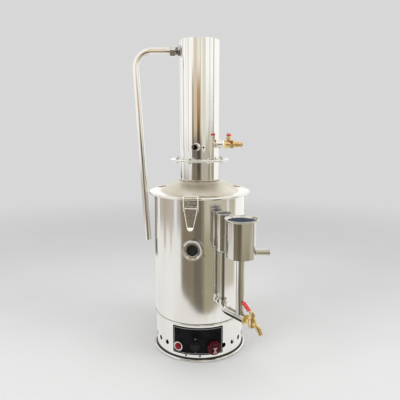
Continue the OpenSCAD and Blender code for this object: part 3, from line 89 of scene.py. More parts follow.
def mapRange(tree, value, start, end, low=0.0, high=1.0, smooth=False):
    spread = tree.nodes.new("ShaderNodeMapRange")
    if smooth:
        spread.interpolation_type = "SMOOTHSTEP"
    for socket, limit in (("From Min", start), ("From Max", end), ("To Min", low), ("To Max", high)):
        spread.inputs[socket].default_value = limit
    tree.links.new(value, spread.inputs["Value"])
    return spread.outputs["Result"]


def toneRamp(tree, fac, dark, light, low=0.35, high=0.65):
    ramp = tree.nodes.new("ShaderNodeValToRGB")
    for stop, place, tone in zip(ramp.color_ramp.elements, (low, high), (dark, light)):
        stop.position = place
        stop.color = (*tone, 1)
    tree.links.new(fac, ramp.inputs["Fac"])
    return ramp.outputs["Color"]


def grain(finish, scale, detail, stretch=(1, 1, 1)):
    # Noise in the object's own metres, drawn out along the axes with small stretch
    tree = finish.node_tree
    place = tree.nodes.new("ShaderNodeTexCoord")
    mapping = tree.nodes.new("ShaderNodeMapping")
    mapping.inputs["Scale"].default_value = [scale * s for s in stretch]
    noise = tree.nodes.new("ShaderNodeTexNoise")
    noise.inputs["Scale"].default_value = 1.0
    noise.inputs["Detail"].default_value = detail
    tree.links.new(place.outputs["Object"], mapping.inputs["Vector"])
    tree.links.new(mapping.outputs["Vector"], noise.inputs["Vector"])
    return noise.outputs["Fac"]


def mottle(finish, fac, dark, light, *limits):
    tree = finish.node_tree
    tone = toneRamp(tree, fac, dark, light, *limits)
    tree.links.new(tone, tree.nodes["Principled BSDF"].inputs["Base Color"])


def varyRoughness(finish, fac, low, high):
    tree = finish.node_tree
    rough = mapRange(tree, fac, 0.3, 0.7, low, high)  # most of the noise lies between these two
    tree.links.new(rough, tree.nodes["Principled BSDF"].inputs["Roughness"])


def emboss(finish, fac, strength, depth):
    # depth in millimetres; a second call adds to the first
    tree = finish.node_tree
    shader = tree.nodes["Principled BSDF"]
    bump = tree.nodes.new("ShaderNodeBump")
    bump.inputs["Strength"].default_value = strength
    bump.inputs["Distance"].default_value = depth * mm
    tree.links.new(fac, bump.inputs["Height"])
    if shader.inputs["Normal"].is_linked:
        tree.links.new(shader.inputs["Normal"].links[0].from_socket, bump.inputs["Normal"])
    tree.links.new(bump.outputs["Normal"], shader.inputs["Normal"])


def changeBelow(finish, axis, limit, other, middle=(0, 0)):
    # Below the limit, in millimetres, the other shader shows; axis is "radius" about the middle, or "height"
    tree = finish.node_tree
    place = tree.nodes.new("ShaderNodeTexCoord")
    split = tree.nodes.new("ShaderNodeSeparateXYZ")
    tree.links.new(place.outputs["Object"], split.inputs["Vector"])
    measure = split.outputs["Z"]
    if axis == "radius":
        flat = tree.nodes.new("ShaderNodeCombineXYZ")
        length = tree.nodes.new("ShaderNodeVectorMath")
        length.operation = "DISTANCE"
        length.inputs[1].default_value = (middle[0] * mm, middle[1] * mm, 0)
        tree.links.new(split.outputs["X"], flat.inputs["X"])
        tree.links.new(split.outputs["Y"], flat.inputs["Y"])
        tree.links.new(flat.outputs["Vector"], length.inputs[0])
        measure = length.outputs["Value"]
    below = tree.nodes.new("ShaderNodeMath")
    below.operation = "LESS_THAN"
    below.inputs[1].default_value = limit * mm
    tree.links.new(measure, below.inputs[0])
    out = outputOf(tree)
    above = out.inputs["Surface"].links[0].from_socket
    mixShaders(tree, below.outputs["Value"], above, other.outputs["BSDF"], out)
    return measure


# Noises of rolled sheet: scale, detail, stretch along the axes
rolledSheet = dict(tones=(9, 3, (1, 1, 0.35)), rough=(60, 5, (1, 1, 0.12)), waves=(11, 1, (1, 1, 0.25)),
                   scratches=(900, 2, (1, 1, 0.05)), scratchStrength=0.12, scratchDepth=0.02)


def polishedSteel(name, dark, light, rough, wave, metallic=1.0):
    finish = newFinish(name, light, metallic, rough[0])
    mottle(finish, grain(finish, *rolledSheet["tones"]), dark, light)
    varyRoughness(finish, grain(finish, *rolledSheet["rough"]), *rough)
    emboss(finish, grain(finish, *rolledSheet["waves"]), 1.0, wave)  # the sheet is never quite flat
    emboss(finish, grain(finish, *rolledSheet["scratches"]), rolledSheet["scratchStrength"],
           rolledSheet["scratchDepth"])
    return finish


# Polished sheet and tube: two tones, roughness from and to, waves in millimetres
steels = dict(
    potSteel=dict(dark=(0.80, 0.785, 0.75), light=(0.90, 0.89, 0.87), rough=(0.10, 0.17), wave=0.6),
    shellSteel=dict(dark=(0.80, 0.785, 0.75), light=(0.90, 0.89, 0.87), rough=(0.04, 0.09), wave=0.45),
    skirtSteel=dict(dark=(0.80, 0.785, 0.75), light=(0.90, 0.89, 0.87), rough=(0.10, 0.18), wave=0.3),
    pipeSteel=dict(dark=(0.22, 0.22, 0.20), light=(0.94, 0.93, 0.89), rough=(0.05, 0.10), wave=0.6),
    # Painted sheen: the flanges get a pale, partly diffuse finish so their edges show as a bright band
    flangePaintedSheen=dict(dark=(0.86, 0.85, 0.80), light=(0.98, 0.97, 0.94), rough=(0.30, 0.40), wave=0.1, metallic=0.6),
    tubeSteel=dict(dark=(0.84, 0.82, 0.79), light=(0.97, 0.96, 0.94), rough=(0.05, 0.10), wave=0.12),
    cupSteel=dict(dark=(0.50, 0.48, 0.43), light=(0.84, 0.82, 0.78), rough=(0.07, 0.14), wave=0.4),
    ventSteel=dict(dark=(0.26, 0.25, 0.22), light=(0.72, 0.70, 0.66), rough=(0.07, 0.14), wave=0.4),
    lidSteel=dict(dark=(0.80, 0.78, 0.72), light=(0.92, 0.90, 0.86), rough=(0.10, 0.18), wave=0.2),
)
finishes = {name: polishedSteel(name, **values) for name, values in steels.items()}

# Painted shade: the feed pipe's run is darker on its lower side
runUnderShade = dict(height=151.0, look=dict(color=(0.05, 0.05, 0.045), metallic=1.0, roughness=0.15))
underside = secondShader(finishes["pipeSteel"], **runUnderShade["look"])
changeBelow(finishes["pipeSteel"], "height", runUnderShade["height"], underside)

# Cups: polished outside, with painted shade making them dull blue-grey inside and darker on the pipe below; x and y
# are each cup's middle
cups = dict(
    cupSteel=dict(x=96.1, y=-179.8, radius=33.4, bottom=298.2, inside=(0.13, 0.155, 0.20)),
    ventSteel=dict(x=58.2, y=-129.5, radius=17.4, bottom=295.7, inside=(0.30, 0.31, 0.32)),
)
cupPipeShade = dict(color=(0.26, 0.25, 0.23), metallic=1.0, roughness=0.1)
for name, cup in cups.items():
    inside = secondShader(finishes[name], cup["inside"], metallic=0.2, roughness=0.4)
    changeBelow(finishes[name], "radius", cup["radius"], inside, (cup["x"], cup["y"]))
    # Painted shade on the pipe below the cup
    pipe = secondShader(finishes[name], **cupPipeShade)
    changeBelow(finishes[name], "height", cup["bottom"], pipe)

# Painted shade: the skirt's inside and the pot's underside are nearly black, so the vents read as holes
paintedShadeSides = dict(skirtSteel=("radius", 117.8), potSteel=("height", 100.6))
shadeBlack = (0.012, 0.011, 0.010)
for name, (axis, limit) in paintedShadeSides.items():
    dull = finishes[name].node_tree.nodes.new("ShaderNodeBsdfDiffuse")
    dull.inputs["Color"].default_value = (*shadeBlack, 1)
    changeBelow(finishes[name], axis, limit, dull)

# The lid's rim is polished; its dome is satin inside a radius, and shaded between two radii at the neck
lidDome = dict(radius=104.5, roughness=0.36, dark=(0.62, 0.58, 0.49), light=(0.76, 0.72, 0.63), cloudScale=14,
               cloudDetail=4, shadeFrom=43, shadeTo=60, shade=0.42)
lidSteel = finishes["lidSteel"]
tree = lidSteel.node_tree
satin = secondShader(lidSteel, lidDome["light"], 1.0, lidDome["roughness"])
cloud = toneRamp(tree, grain(lidSteel, lidDome["cloudScale"], lidDome["cloudDetail"]), lidDome["dark"],
                 lidDome["light"])
away = changeBelow(lidSteel, "radius", lidDome["radius"], satin)
shade = mapRange(tree, away, lidDome["shadeFrom"] * mm, lidDome["shadeTo"] * mm, lidDome["shade"], smooth=True)
dim = tree.nodes.new("ShaderNodeVectorMath")
dim.operation = "SCALE"
tree.links.new(cloud, dim.inputs[0])
tree.links.new(shade, dim.inputs["Scale"])
tree.links.new(dim.outputs["Vector"], satin.inputs["Base Color"])


def smallFinish(name, color, roughness, tones, metallic=0.0, rough=None, bumps=None, **sockets):
    finish = newFinish(name, color, metallic, roughness, **sockets)
    scale, detail, *toneValues = tones
    mottle(finish, grain(finish, scale, detail), *toneValues)
    if rough:
        scale, detail, low, high = rough
        varyRoughness(finish, grain(finish, scale, detail), low, high)
    if bumps:
        scale, detail, strength, depth = bumps
        emboss(finish, grain(finish, scale, detail), strength, depth)
    return finish


# Finishes of the smaller pieces. Each of tones, rough and bumps starts with its noise's scale and detail;
# then come dark and light tones, roughness from and to, and strength and depth of the bumps
smallFinishes = dict(
    brightParts=dict(color=(0.82, 0.82, 0.81), metallic=1.0, roughness=0.14,
                     tones=(120, 3, (0.70, 0.69, 0.67), (0.86, 0.86, 0.85)),
                     rough=(400, 4, 0.08, 0.22), bumps=(1500, 2, 0.15, 0.03)),
    # Painted sheen: latch beads and thumb tips get a pale, partly diffuse finish standing in for their polish
    # catching overhead light
    beadPaintedSheen=dict(color=(0.80, 0.77, 0.69), metallic=0.3, roughness=0.4,
                   tones=(80, 3, (0.72, 0.69, 0.60), (0.86, 0.83, 0.76)), rough=(240, 3, 0.42, 0.6)),
    greyScrews=dict(color=(0.16, 0.16, 0.16), metallic=0.6, roughness=0.45,
                    tones=(200, 3, (0.12, 0.12, 0.12), (0.20, 0.20, 0.19))),
    weldSteel=dict(color=(0.66, 0.64, 0.60), metallic=1.0, roughness=0.25,
                   tones=(220, 4, (0.42, 0.36, 0.30), (0.78, 0.76, 0.72), 0.4, 0.6),
                   rough=(500, 4, 0.15, 0.4), bumps=(700, 3, 0.4, 0.15)),
    castBrass=dict(color=(0.82, 0.62, 0.30), metallic=1.0, roughness=0.25,
                   tones=(90, 4, (0.68, 0.48, 0.19), (0.92, 0.74, 0.42)),
                   rough=(300, 4, 0.16, 0.36), bumps=(900, 3, 0.3, 0.06)),
    redPaint=dict(color=(0.62, 0.02, 0.02), roughness=0.3, Coat_Weight=0.4, Coat_Roughness=0.1,
                  tones=(160, 3, (0.45, 0.01, 0.012), (0.70, 0.025, 0.02)), bumps=(500, 2, 0.3, 0.08)),
    redSleeve=dict(color=(0.70, 0.02, 0.02), roughness=0.35, Coat_Weight=0.3, Coat_Roughness=0.2,
                   tones=(130, 3, (0.55, 0.012, 0.015), (0.76, 0.03, 0.025)), bumps=(800, 2, 0.2, 0.05)),
    lampRed=dict(color=(0.36, 0.004, 0.012), roughness=0.22, Specular_IOR_Level=0.25,
                 tones=(320, 3, (0.05, 0.0006, 0.002), (0.34, 0.004, 0.010))),
    knobRed=dict(color=(0.05, 0.003, 0.006), roughness=0.25, Specular_IOR_Level=0.18,
                 tones=(120, 3, (0.022, 0.0015, 0.003), (0.085, 0.005, 0.009))),
    # Pale pink of the painted highlight on the knob's grip
    knobPaleHighlight=dict(color=(0.55, 0.42, 0.40), roughness=0.3,
                  tones=(200, 3, (0.30, 0.14, 0.15), (0.56, 0.38, 0.38))),
    blackPanel=dict(color=(0.004, 0.004, 0.005), roughness=0.3, Specular_IOR_Level=0.05,
                    tones=(40, 4, (0.003, 0.003, 0.004), (0.009, 0.009, 0.010)), rough=(500, 4, 0.22, 0.34)),
    blackPlastic=dict(color=(0.02, 0.02, 0.02), roughness=0.4,
                      tones=(90, 4, (0.010, 0.010, 0.011), (0.030, 0.030, 0.031)), bumps=(1600, 2, 0.25, 0.05)),
    switchBlack=dict(color=(0.008, 0.008, 0.009), roughness=0.35, Specular_IOR_Level=0.15,
                     tones=(90, 4, (0.005, 0.005, 0.006), (0.014, 0.014, 0.015))),
    panelLine=dict(color=(0.50, 0.50, 0.48), roughness=0.45,
                   tones=(300, 3, (0.38, 0.38, 0.37), (0.58, 0.58, 0.56))),
    silicone=dict(color=(0.78, 0.75, 0.68), roughness=0.5, Subsurface_Weight=0.1,
                  tones=(80, 4, (0.68, 0.64, 0.56), (0.82, 0.80, 0.74)), bumps=(900, 3, 0.2, 0.05)),
    darkRubber=dict(color=(0.03, 0.03, 0.03), roughness=0.6,
                    tones=(150, 4, (0.015, 0.015, 0.015), (0.045, 0.045, 0.045)), bumps=(1200, 3, 0.3, 0.06)),
    whiteTape=dict(color=(0.86, 0.86, 0.84), roughness=0.55,
                   tones=(300, 4, (0.74, 0.74, 0.72), (0.90, 0.90, 0.88)), bumps=(700, 3, 0.5, 0.2)),
    sightGlass=dict(color=(0.02, 0.022, 0.022), roughness=0.03, Transmission_Weight=0.4, IOR=1.47,
                    tones=(60, 2, (0.012, 0.014, 0.014), (0.03, 0.033, 0.033))),
)
for name, values in smallFinishes.items():
    finishes[name] = smallFinish(name, **values)
print("finishes made:", len(finishes))

nodeFinishes = dict(
    potSteel=["boiler_pot"],
    shellSteel=["condenser_shell", "condenser_cap", "neck_tube"],
    flangePaintedSheen=["lower_flange", "upper_flange"],
    skirtSteel=["base_skirt", "base_ring"],
    pipeSteel=["feed_pipe"],
    tubeSteel=["return_pipe", "distillate_outlet", "vent_nipple", "inlet_socket", "heater_elements", "cooling_coil",
               "drip_tray", "bottom_plate"],
    cupSteel=["water_cup", "union_spud"],
    ventSteel=["vent_cup"],
    lidSteel=["lid_dome"],
    brightParts=["flange_bolts", "flange_nuts", "union_nut", "sight_bezel", "latch_plates", "latch_rivets",
                 "latch_lever_front", "latch_lever_right", "latch_lever_left", "inlet_valve_stem", "tap_lever",
                 "lamp_body"],
    beadPaintedSheen=["latch_bail_front", "latch_bail_right", "latch_bail_left"],
    greyScrews=["panel_screws"],
    castBrass=["inlet_valve_body", "hose_tail", "tap_body", "tap_plug", "tap_bonnet", "probe_screw", "heater_nuts"],
    redPaint=["inlet_handle"],
    redSleeve=["lever_sleeve"],
    lampRed=["lamp_lens"],
    knobRed=["selector_knob"],
    blackPanel=["control_panel"],
    blackPlastic=["cable_gland"],
    switchBlack=["button_body", "reset_button", "selector_base"],
    silicone=["lid_gasket", "flange_gasket"],
    # foot_seal is dark for painted shade: it fills the seam between the skirt and the foot bead
    darkRubber=["sight_gasket", "foot_seal"],
    whiteTape=["thread_tape", "terminal_block"],
    sightGlass=["sight_glass"],
)
dressed = set()
for finishName, names in nodeFinishes.items():
    for name in names:
        mesh = nodes[name].data
        mesh.materials.clear()
        mesh.materials.append(finishes[finishName])
        mesh.shade_smooth()
        mesh.set_sharp_from_angle(angle=radians(28))
    dressed.update(names)
print("nodes without a finish:", sorted(set(nodes) - dressed))


def settle(name, bm, place, finishName, body, sharp=35):
    bmesh.ops.recalc_face_normals(bm, faces=bm.faces)
    mesh = bpy.data.meshes.new(name)
    bm.to_mesh(mesh)
    bm.free()
    mesh.materials.append(finishes[finishName])
    mesh.shade_smooth()
    mesh.set_sharp_from_angle(angle=radians(sharp))
    piece = bpy.data.objects.new(name, mesh)
    bpy.context.scene.collection.objects.link(piece)
    piece.matrix_world = place
    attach(piece, body)
    return piece


def layer(bm, points, z):
    return [bm.verts.new((x * mm, y * mm, z * mm)) for x, y in points]


def bridge(bm, a, b):
    # Faces between two closed loops with the same number of points
    for k in range(len(a)):
        n = (k + 1) % len(a)
        bm.faces.new((a[k], a[n], b[n], b[k]))


def stack(bm, loops, capped=True):
    for a, b in zip(loops, loops[1:]):
        bridge(bm, a, b)
    if capped:
        bm.faces.new(loops[0])
        bm.faces.new(loops[-1])


def spin(bm, outline, steps=72, place=None, swell=None):
    # outline is a list of (radius, height); swell(angle, radius, height) may change the radius
    place = place or Matrix.Identity(4)
    rings = []
    for r, h in outline:
        if r < 1e-6:
            rings.append([bm.verts.new(place @ Vector((0, 0, h * mm)))])
            continue
        ring = []
        for k in range(steps):
            a = 2 * pi * k / steps
            q = swell(a, r, h) if swell else r
            ring.append(bm.verts.new(place @ Vector((q * cos(a) * mm, q * sin(a) * mm, h * mm))))
        rings.append(ring)
    for a, b in zip(rings, rings[1:]):
        if len(a) == len(b):
            bridge(bm, a, b)
            continue
        for k in range(steps):  # a fan, where one end is a point on the axis
            n = (k + 1) % steps
            bm.faces.new((a[0], b[k], b[n]) if len(a) == 1 else (a[k], a[n], b[0]))


def hexPiece(bm, flats, low, high, place=None, bore=0, chamferHigh=True, steps=72):
    # Hexagon bar whose corners are turned off at the ends, as on a real nut
    place = place or Matrix.Identity(4)
    slope = tan(radians(28))  # of the chamfer
    turned = flats / 2 * 0.98  # radius that it leaves at an end

    def edge(a):
        return flats / 2 / cos(radians((degrees(a) % 60) - 30))

    def drop(a):
        return (edge(a) - turned) * slope

    def ring(radiusAt, heightAt):
        made = []
        for k in range(steps):
            a = 2 * pi * k / steps
            r = radiusAt(a)
            made.append(bm.verts.new(place @ Vector((r * cos(a) * mm, r * sin(a) * mm, heightAt(a) * mm))))
        return made

    loops = []
    if bore:
        loops.append(ring(lambda a: bore, lambda a: low))
    loops.append(ring(lambda a: turned, lambda a: low))
    loops.append(ring(edge, lambda a: low + drop(a)))
    if chamferHigh:
        loops.append(ring(edge, lambda a: high - drop(a)))
    loops.append(ring(lambda a: turned if chamferHigh else edge(a), lambda a: high))
    if bore:
        loops.append(ring(lambda a: bore, lambda a: high))
        loops.append(loops[0])
    stack(bm, loops, capped=not bore)


def thread(start, end, r, pitch, depth):
    # Outline of a screw thread as close V-shaped rings, tapered over its last half millimetre
    lead = 0.5
    outline = [(r - depth, start)]
    count = max(1, round((end - start - lead) / pitch))
    step = (end - start - lead) / count
    for k in range(count):
        outline += [(r, start + step * (k + 0.5)), (r - depth, start + step * (k + 1))]
    return outline + [(r - depth - lead, end)]


def closedTube(bm, points, r, sides=12):
    # Round tube along a closed flat line of points, in millimetres
    pts = [Vector(p) for p in points]
    rings = []
    side = None
    for i, point in enumerate(pts):
        t = (pts[(i + 1) % len(pts)] - pts[i - 1]).normalized()
        if side is None:
            side = t.cross(Vector((0, 0, 1)))
        side = (side - t * side.dot(t)).normalized()
        up = t.cross(side)
        angles = [2 * pi * k / sides for k in range(sides)]
        rings.append([bm.verts.new((point + r * (cos(a) * side + sin(a) * up)) * mm) for a in angles])
    stack(bm, rings + rings[:1], capped=False)


# Flange bolts and nuts; low and high are the outer faces of the two flanges
flange = dict(count=8, circle=62.07, low=507, high=511.4, size=5, flats=8, head=3.5, nut=4, proud=2.5,
              pitch=0.8, threadDepth=0.3, turn=11, gap=0.02, sunk=0.1, slack=0.05)
bmBolts, bmNuts = bmesh.new(), bmesh.new()
low, high, shank = flange["low"], flange["high"], flange["size"] / 2
top = high + flange["nut"] + flange["proud"]
shankOutline = [(0, low - flange["sunk"]), (shank, low - flange["sunk"]), (shank, high)]
shankOutline += thread(high, top, shank, flange["pitch"], flange["threadDepth"]) + [(0, top)]
for i in range(flange["count"]):
    az = 360 * (i + 0.5) / flange["count"]
    spot = Matrix.Rotation(radians(az), 4, "Z") @ Matrix.Translation((0, -flange["circle"] * mm, 0))
    turned = spot @ Matrix.Rotation(radians(flange["turn"] * i), 4, "Z")  # no two heads stop at the same turn
    hexPiece(bmBolts, flange["flats"], low - flange["head"], low - flange["gap"], turned, chamferHigh=False)
    spin(bmBolts, shankOutline, steps=32, place=spot)
    hexPiece(bmNuts, flange["flats"], high + flange["gap"], high + flange["nut"], turned,
             bore=shank + flange["slack"])
flangeBolts = settle("flangeBolts", bmBolts, Matrix.Identity(4), "brightParts", "distiller")
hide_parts("flange_bolts")
flangeNuts = settle("flangeNuts", bmNuts, Matrix.Identity(4), "brightParts", "distiller")
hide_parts("flange_nuts")
print("flange fasteners made")


def weldRing(name, radius, height, bead, ripples):
    # Rippled half-round bead on a tube
    half = 0.9 * bead
    sunk = radius - 0.2
    outline = [(sunk, height)]
    for k in range(9):
        t = pi * k / 8 - pi / 2
        outline.append((radius + half * cos(t), height + half * (sin(t) + 1)))
    outline += [(sunk, height + 2 * half), (sunk, height)]

    def rippled(a, r, h):
        return r + 0.12 * bead * cos(ripples * a + 0.4 * sin(5 * a)) if r > radius else r

    bm = bmesh.new()
    spin(bm, outline, steps=max(96, ripples * 4), swell=rippled)
    settle(name, bm, Matrix.Identity(4), "weldSteel", "distiller", sharp=60)


welds = dict(
    neckWeld=dict(radius=52.6, height=456.6, bead=1.6, ripples=60),
    shellWeld=dict(radius=51.6, height=511.4, bead=1.2, ripples=70),
    flangeWeld=dict(radius=50.6, height=504.2, bead=1.3, ripples=70),
)
for name, values in welds.items():
    weldRing(name, **values)

# Union at the condenser's head: its nut, and the thread that shows beside it
unionNut = dict(bearing=-90, height=784.3, start=60.58, length=14.24, flats=26.4, bore=8.08)
bm = bmesh.new()
hexPiece(bm, unionNut["flats"], 0, unionNut["length"], bore=unionNut["bore"])
nutPiece = settle("unionNut", bm, onWall(unionNut["bearing"], unionNut["start"], unionNut["height"]),
                  "brightParts", "distiller")
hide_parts("union_nut")
unionThread = dict(start=54.3, length=6.0, radius=9.75, bore=8.8, pitch=1.1, depth=0.9)
bore, length = unionThread["bore"], unionThread["length"]
bm = bmesh.new()
spin(bm, [(bore, 0)] + thread(0, length, unionThread["radius"], unionThread["pitch"], unionThread["depth"])
     + [(bore, length), (bore, 0)])
settle("unionThread", bm, onWall(unionNut["bearing"], unionThread["start"], unionNut["height"]),
       "darkRubber", "distiller")

# Two low rings on the hose tail of the inlet valve: radius and distance along the tail
tailRings = dict(bearing=70, start=97.3, height=550.8,
                 outline=[(6.6, 0), (6.9, 0.3), (6.9, 1.3), (6.6, 1.6), (6.6, 14.6), (6.95, 15.6), (6.95, 17.1),
                          (6.6, 17.6), (6.6, 0)])
bm = bmesh.new()
spin(bm, tailRings["outline"])
settle("tailRidge", bm, onWall(tailRings["bearing"], tailRings["start"], tailRings["height"]),
       "castBrass", "distiller")


def stadium(width, length, inset, steps=12):
    # Outline with two round ends, the first about 0 and the second towards -Y
    r = width / 2 - inset
    mid = length - width
    return ([(r * cos(pi * k / steps), r * sin(pi * k / steps)) for k in range(steps + 1)]
            + [(r * cos(pi + pi * k / steps), -mid + r * sin(pi + pi * k / steps)) for k in range(steps + 1)])


# Red folded handle of the inlet valve and its nut; bearing and reach give the valve's stem
handle = dict(bearing=70, reach=79.8, turn=-4, low=572.1, width=12.1, height=4.84, length=30, wall=1.2,
              rounding=0.7, roundingHeight=0.8, nutFlats=7.5, nutHeight=2.6)
bm = bmesh.new()
outer, soft, inner = [stadium(handle["width"], handle["length"] + handle["width"] / 2, inset)
                      for inset in (0, handle["rounding"], handle["wall"])]
stack(bm, [layer(bm, line, z) for line, z in (
    (inner, handle["height"] - handle["wall"]), (inner, 0), (outer, 0),
    (outer, handle["height"] - handle["roundingHeight"]), (soft, handle["height"]))])
at = onWall(handle["bearing"], handle["reach"], 0).translation
handlePlace = (Matrix.Translation((at.x, at.y, handle["low"] * mm))
               @ Matrix.Rotation(radians(handle["turn"]), 4, "Z"))
handlePiece = settle("inletHandle", bm, handlePlace, "redPaint", "inlet_ball")
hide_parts("inlet_handle")
bm = bmesh.new()
hexPiece(bm, handle["nutFlats"], 0, handle["nutHeight"])
settle("inletHandleNut", bm, Matrix.Translation((at.x, at.y, (handle["low"] + handle["height"]) * mm)),
       "brightParts", "inlet_ball")
print("valve dressed")


def curvedStrip(bm, az0, az1, z0, z1, r, thick, steps):
    rings = []
    for k in range(steps + 1):
        a = radians(az0 + (az1 - az0) * k / steps)
        corners = ((r, z0), (r + thick, z0), (r + thick, z1), (r, z1))
        rings.append([bm.verts.new((q * sin(a) * mm, -q * cos(a) * mm, z * mm)) for q, z in corners])
    stack(bm, rings)


# Thin border line of the control panel
border = dict(left=-33.2, right=28.5, low=20.5, high=87.1, radius=120.08, width=0.7, proud=0.14)
bm = bmesh.new()
turn = degrees(border["width"] / border["radius"])
for z in (border["low"], border["high"]):
    curvedStrip(bm, border["left"], border["right"], z, z + border["width"], border["radius"], border["proud"], 48)
for az in (border["left"], border["right"] - turn):
    curvedStrip(bm, az, az + turn, border["low"] + border["width"], border["high"], border["radius"],
                border["proud"], 1)
settle("panelBorder", bm, Matrix.Identity(4), "panelLine", "distiller")

# Red lamp's ribbed lens
lens = dict(bearing=-26.2, height=38.3, radius=9.48, base=121.54, depth=3.6, dome=3.9984, ribs=20, ribDepth=0.05)
outline = [(0, 0), (lens["radius"], 0), (lens["radius"], lens["depth"])]
for k in range(1, 8):
    t = pi / 2 * k / 8
    outline.append((lens["radius"] * cos(t), lens["depth"] + lens["dome"] * sin(t)))
outline.append((0, lens["depth"] + lens["dome"]))


def ribbed(a, r, h):
    return r * (1 - lens["ribDepth"] * (0.5 + 0.5 * cos(lens["ribs"] * a))) if h >= lens["depth"] else r


bm = bmesh.new()
spin(bm, outline, steps=120, swell=ribbed)
lensPiece = settle("lampLens", bm, onWall(lens["bearing"], lens["base"], lens["height"]), "lampRed", "distiller",
                   sharp=25)
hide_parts("lamp_lens")

# Selector knob: fluted rim, waisted grip and a pale painted highlight on the grip's lower part; grip and highlight
# are in shares of the radius
knob = dict(bearing=17.4, height=38.1, base=122.07, radius=19, flutes=30, fluteDepth=0.38, fluteFrom=18.3,
            outline=[(0, -19), (3.04, -19), (3.04, 0), (17.6, 0), (18.4, 0.5), (18.6, 1.2), (18.4, 6.6), (17.6, 7.6),
                     (16.6, 8), (0, 8)],
            grip=[(-0.42, 0.82), (0.42, 0.82), (0.13, 0), (0.42, -0.82), (-0.42, -0.82), (-0.13, 0)],
            gripLow=8, gripHigh=11.7, gripTaper=(0.94, 0.97),
            highlight=[(-0.30, 0.16), (0.30, 0.16), (0.08, -0.20), (0.30, -0.64), (-0.30, -0.64), (-0.08, -0.20)],
            highlightLow=11.6, highlightHigh=11.85)


def fluted(a, r, h):
    return r + knob["fluteDepth"] * cos(knob["flutes"] * a) if r > knob["fluteFrom"] else r


def onKnob(outline, z, taper=(1, 1)):
    return layer(bm, [(x * taper[0] * knob["radius"], y * taper[1] * knob["radius"]) for x, y in outline], z)


knobPlace = onWall(knob["bearing"], knob["base"], knob["height"])
bm = bmesh.new()
spin(bm, knob["outline"], steps=240, swell=fluted)
foot = onKnob(knob["grip"], knob["gripLow"])
crest = onKnob(knob["grip"], knob["gripHigh"], knob["gripTaper"])
bridge(bm, foot, crest)
bm.faces.new(crest)
knobPiece = settle("selectorKnob", bm, knobPlace, "knobRed", "selector", sharp=30)
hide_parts("selector_knob")
# Painted highlight: a thin pale pink patch on the grip's top
bm = bmesh.new()
stack(bm, [onKnob(knob["highlight"], z) for z in (knob["highlightLow"], knob["highlightHigh"])])
settle("knobHighlight", bm, knobPlace, "knobPaleHighlight", "selector")
print("panel dressed")

# Latches: a rolled bead and a thumb tip on each lever, and above it two thin black strips, painted shade that stands
# for two slots pressed into the plate
latches = dict(front=-9, right=129, left=-127)
lever = dict(width=31, tip=17.36, length=54, pivotRadius=131, pivot=402.3, face=3.44, lean=7, plate=1.2,
             bead=1.05, beadSink=0.1, inset=1.2, top=0.2, shoulder=-11.2, tipEdge=0.2, tipRise=0.62)
slots = dict(apart=5.8, half=2.4, low=6.2, high=9.4, wall=121.3, radius=121.32, depth=0.12)
tipMid = -lever["length"] + lever["tip"] / 2
tipRadius = lever["tip"] / 2 - lever["inset"]
half = lever["width"] / 2 - lever["inset"]
arc = [(tipRadius * cos(pi * k / 12), tipMid - tipRadius * sin(pi * k / 12)) for k in range(13)]
line = [(half, lever["top"]), (half, lever["shoulder"])] + arc + [(-half, lever["shoulder"]), (-half, lever["top"])]
for side, az in latches.items():
    leverPlace = (onWall(az, lever["pivotRadius"] + lever["face"], lever["pivot"])
                  @ Matrix.Rotation(radians(-lever["lean"]), 4, "X"))
    bm = bmesh.new()
    closedTube(bm, [(x, y, lever["plate"] + lever["beadSink"]) for x, y in line], lever["bead"])
    settle("latchBead_" + side, bm, leverPlace, "beadPaintedSheen", "lever_" + side)
    # Thumb tip: a half disc whose face leans up
    bm = bmesh.new()
    back = layer(bm, arc, lever["plate"])
    rise = [lever["plate"] + lever["tipEdge"] + lever["tipRise"] * (tipMid - y) for x, y in arc]
    front = [bm.verts.new((x * mm, y * mm, z * mm)) for (x, y), z in zip(arc, rise)]
    stack(bm, [back, front])
    settle("latchTip_" + side, bm, leverPlace, "beadPaintedSheen", "lever_" + side)
    # Painted shade: each slot is a thin black strip laid on the wall
    bm = bmesh.new()
    for x in (-slots["apart"], slots["apart"]):
        curvedStrip(bm, degrees((x - slots["half"]) / slots["wall"]), degrees((x + slots["half"]) / slots["wall"]),
                    slots["low"], slots["high"], slots["radius"], slots["depth"], 3)
    settle("latchSlotShade_" + side, bm, Matrix.Rotation(radians(az), 4, "Z") @ atHeight(lever["pivot"]),
           "switchBlack", "distiller")
print("latches dressed")

# Studio, in metres from here on; cardReach is the height that a card's tones are measured against
studio = dict(background=(0.68, 0.68, 0.68), worldStrength=0.58, cardReach=2.5, floor=(0.67, 0.67, 0.67),
              floorMottle=0.985, floorRadius=30, floorHeight=-0.0005, fadeStart=0.9, fadeEnd=2.6)


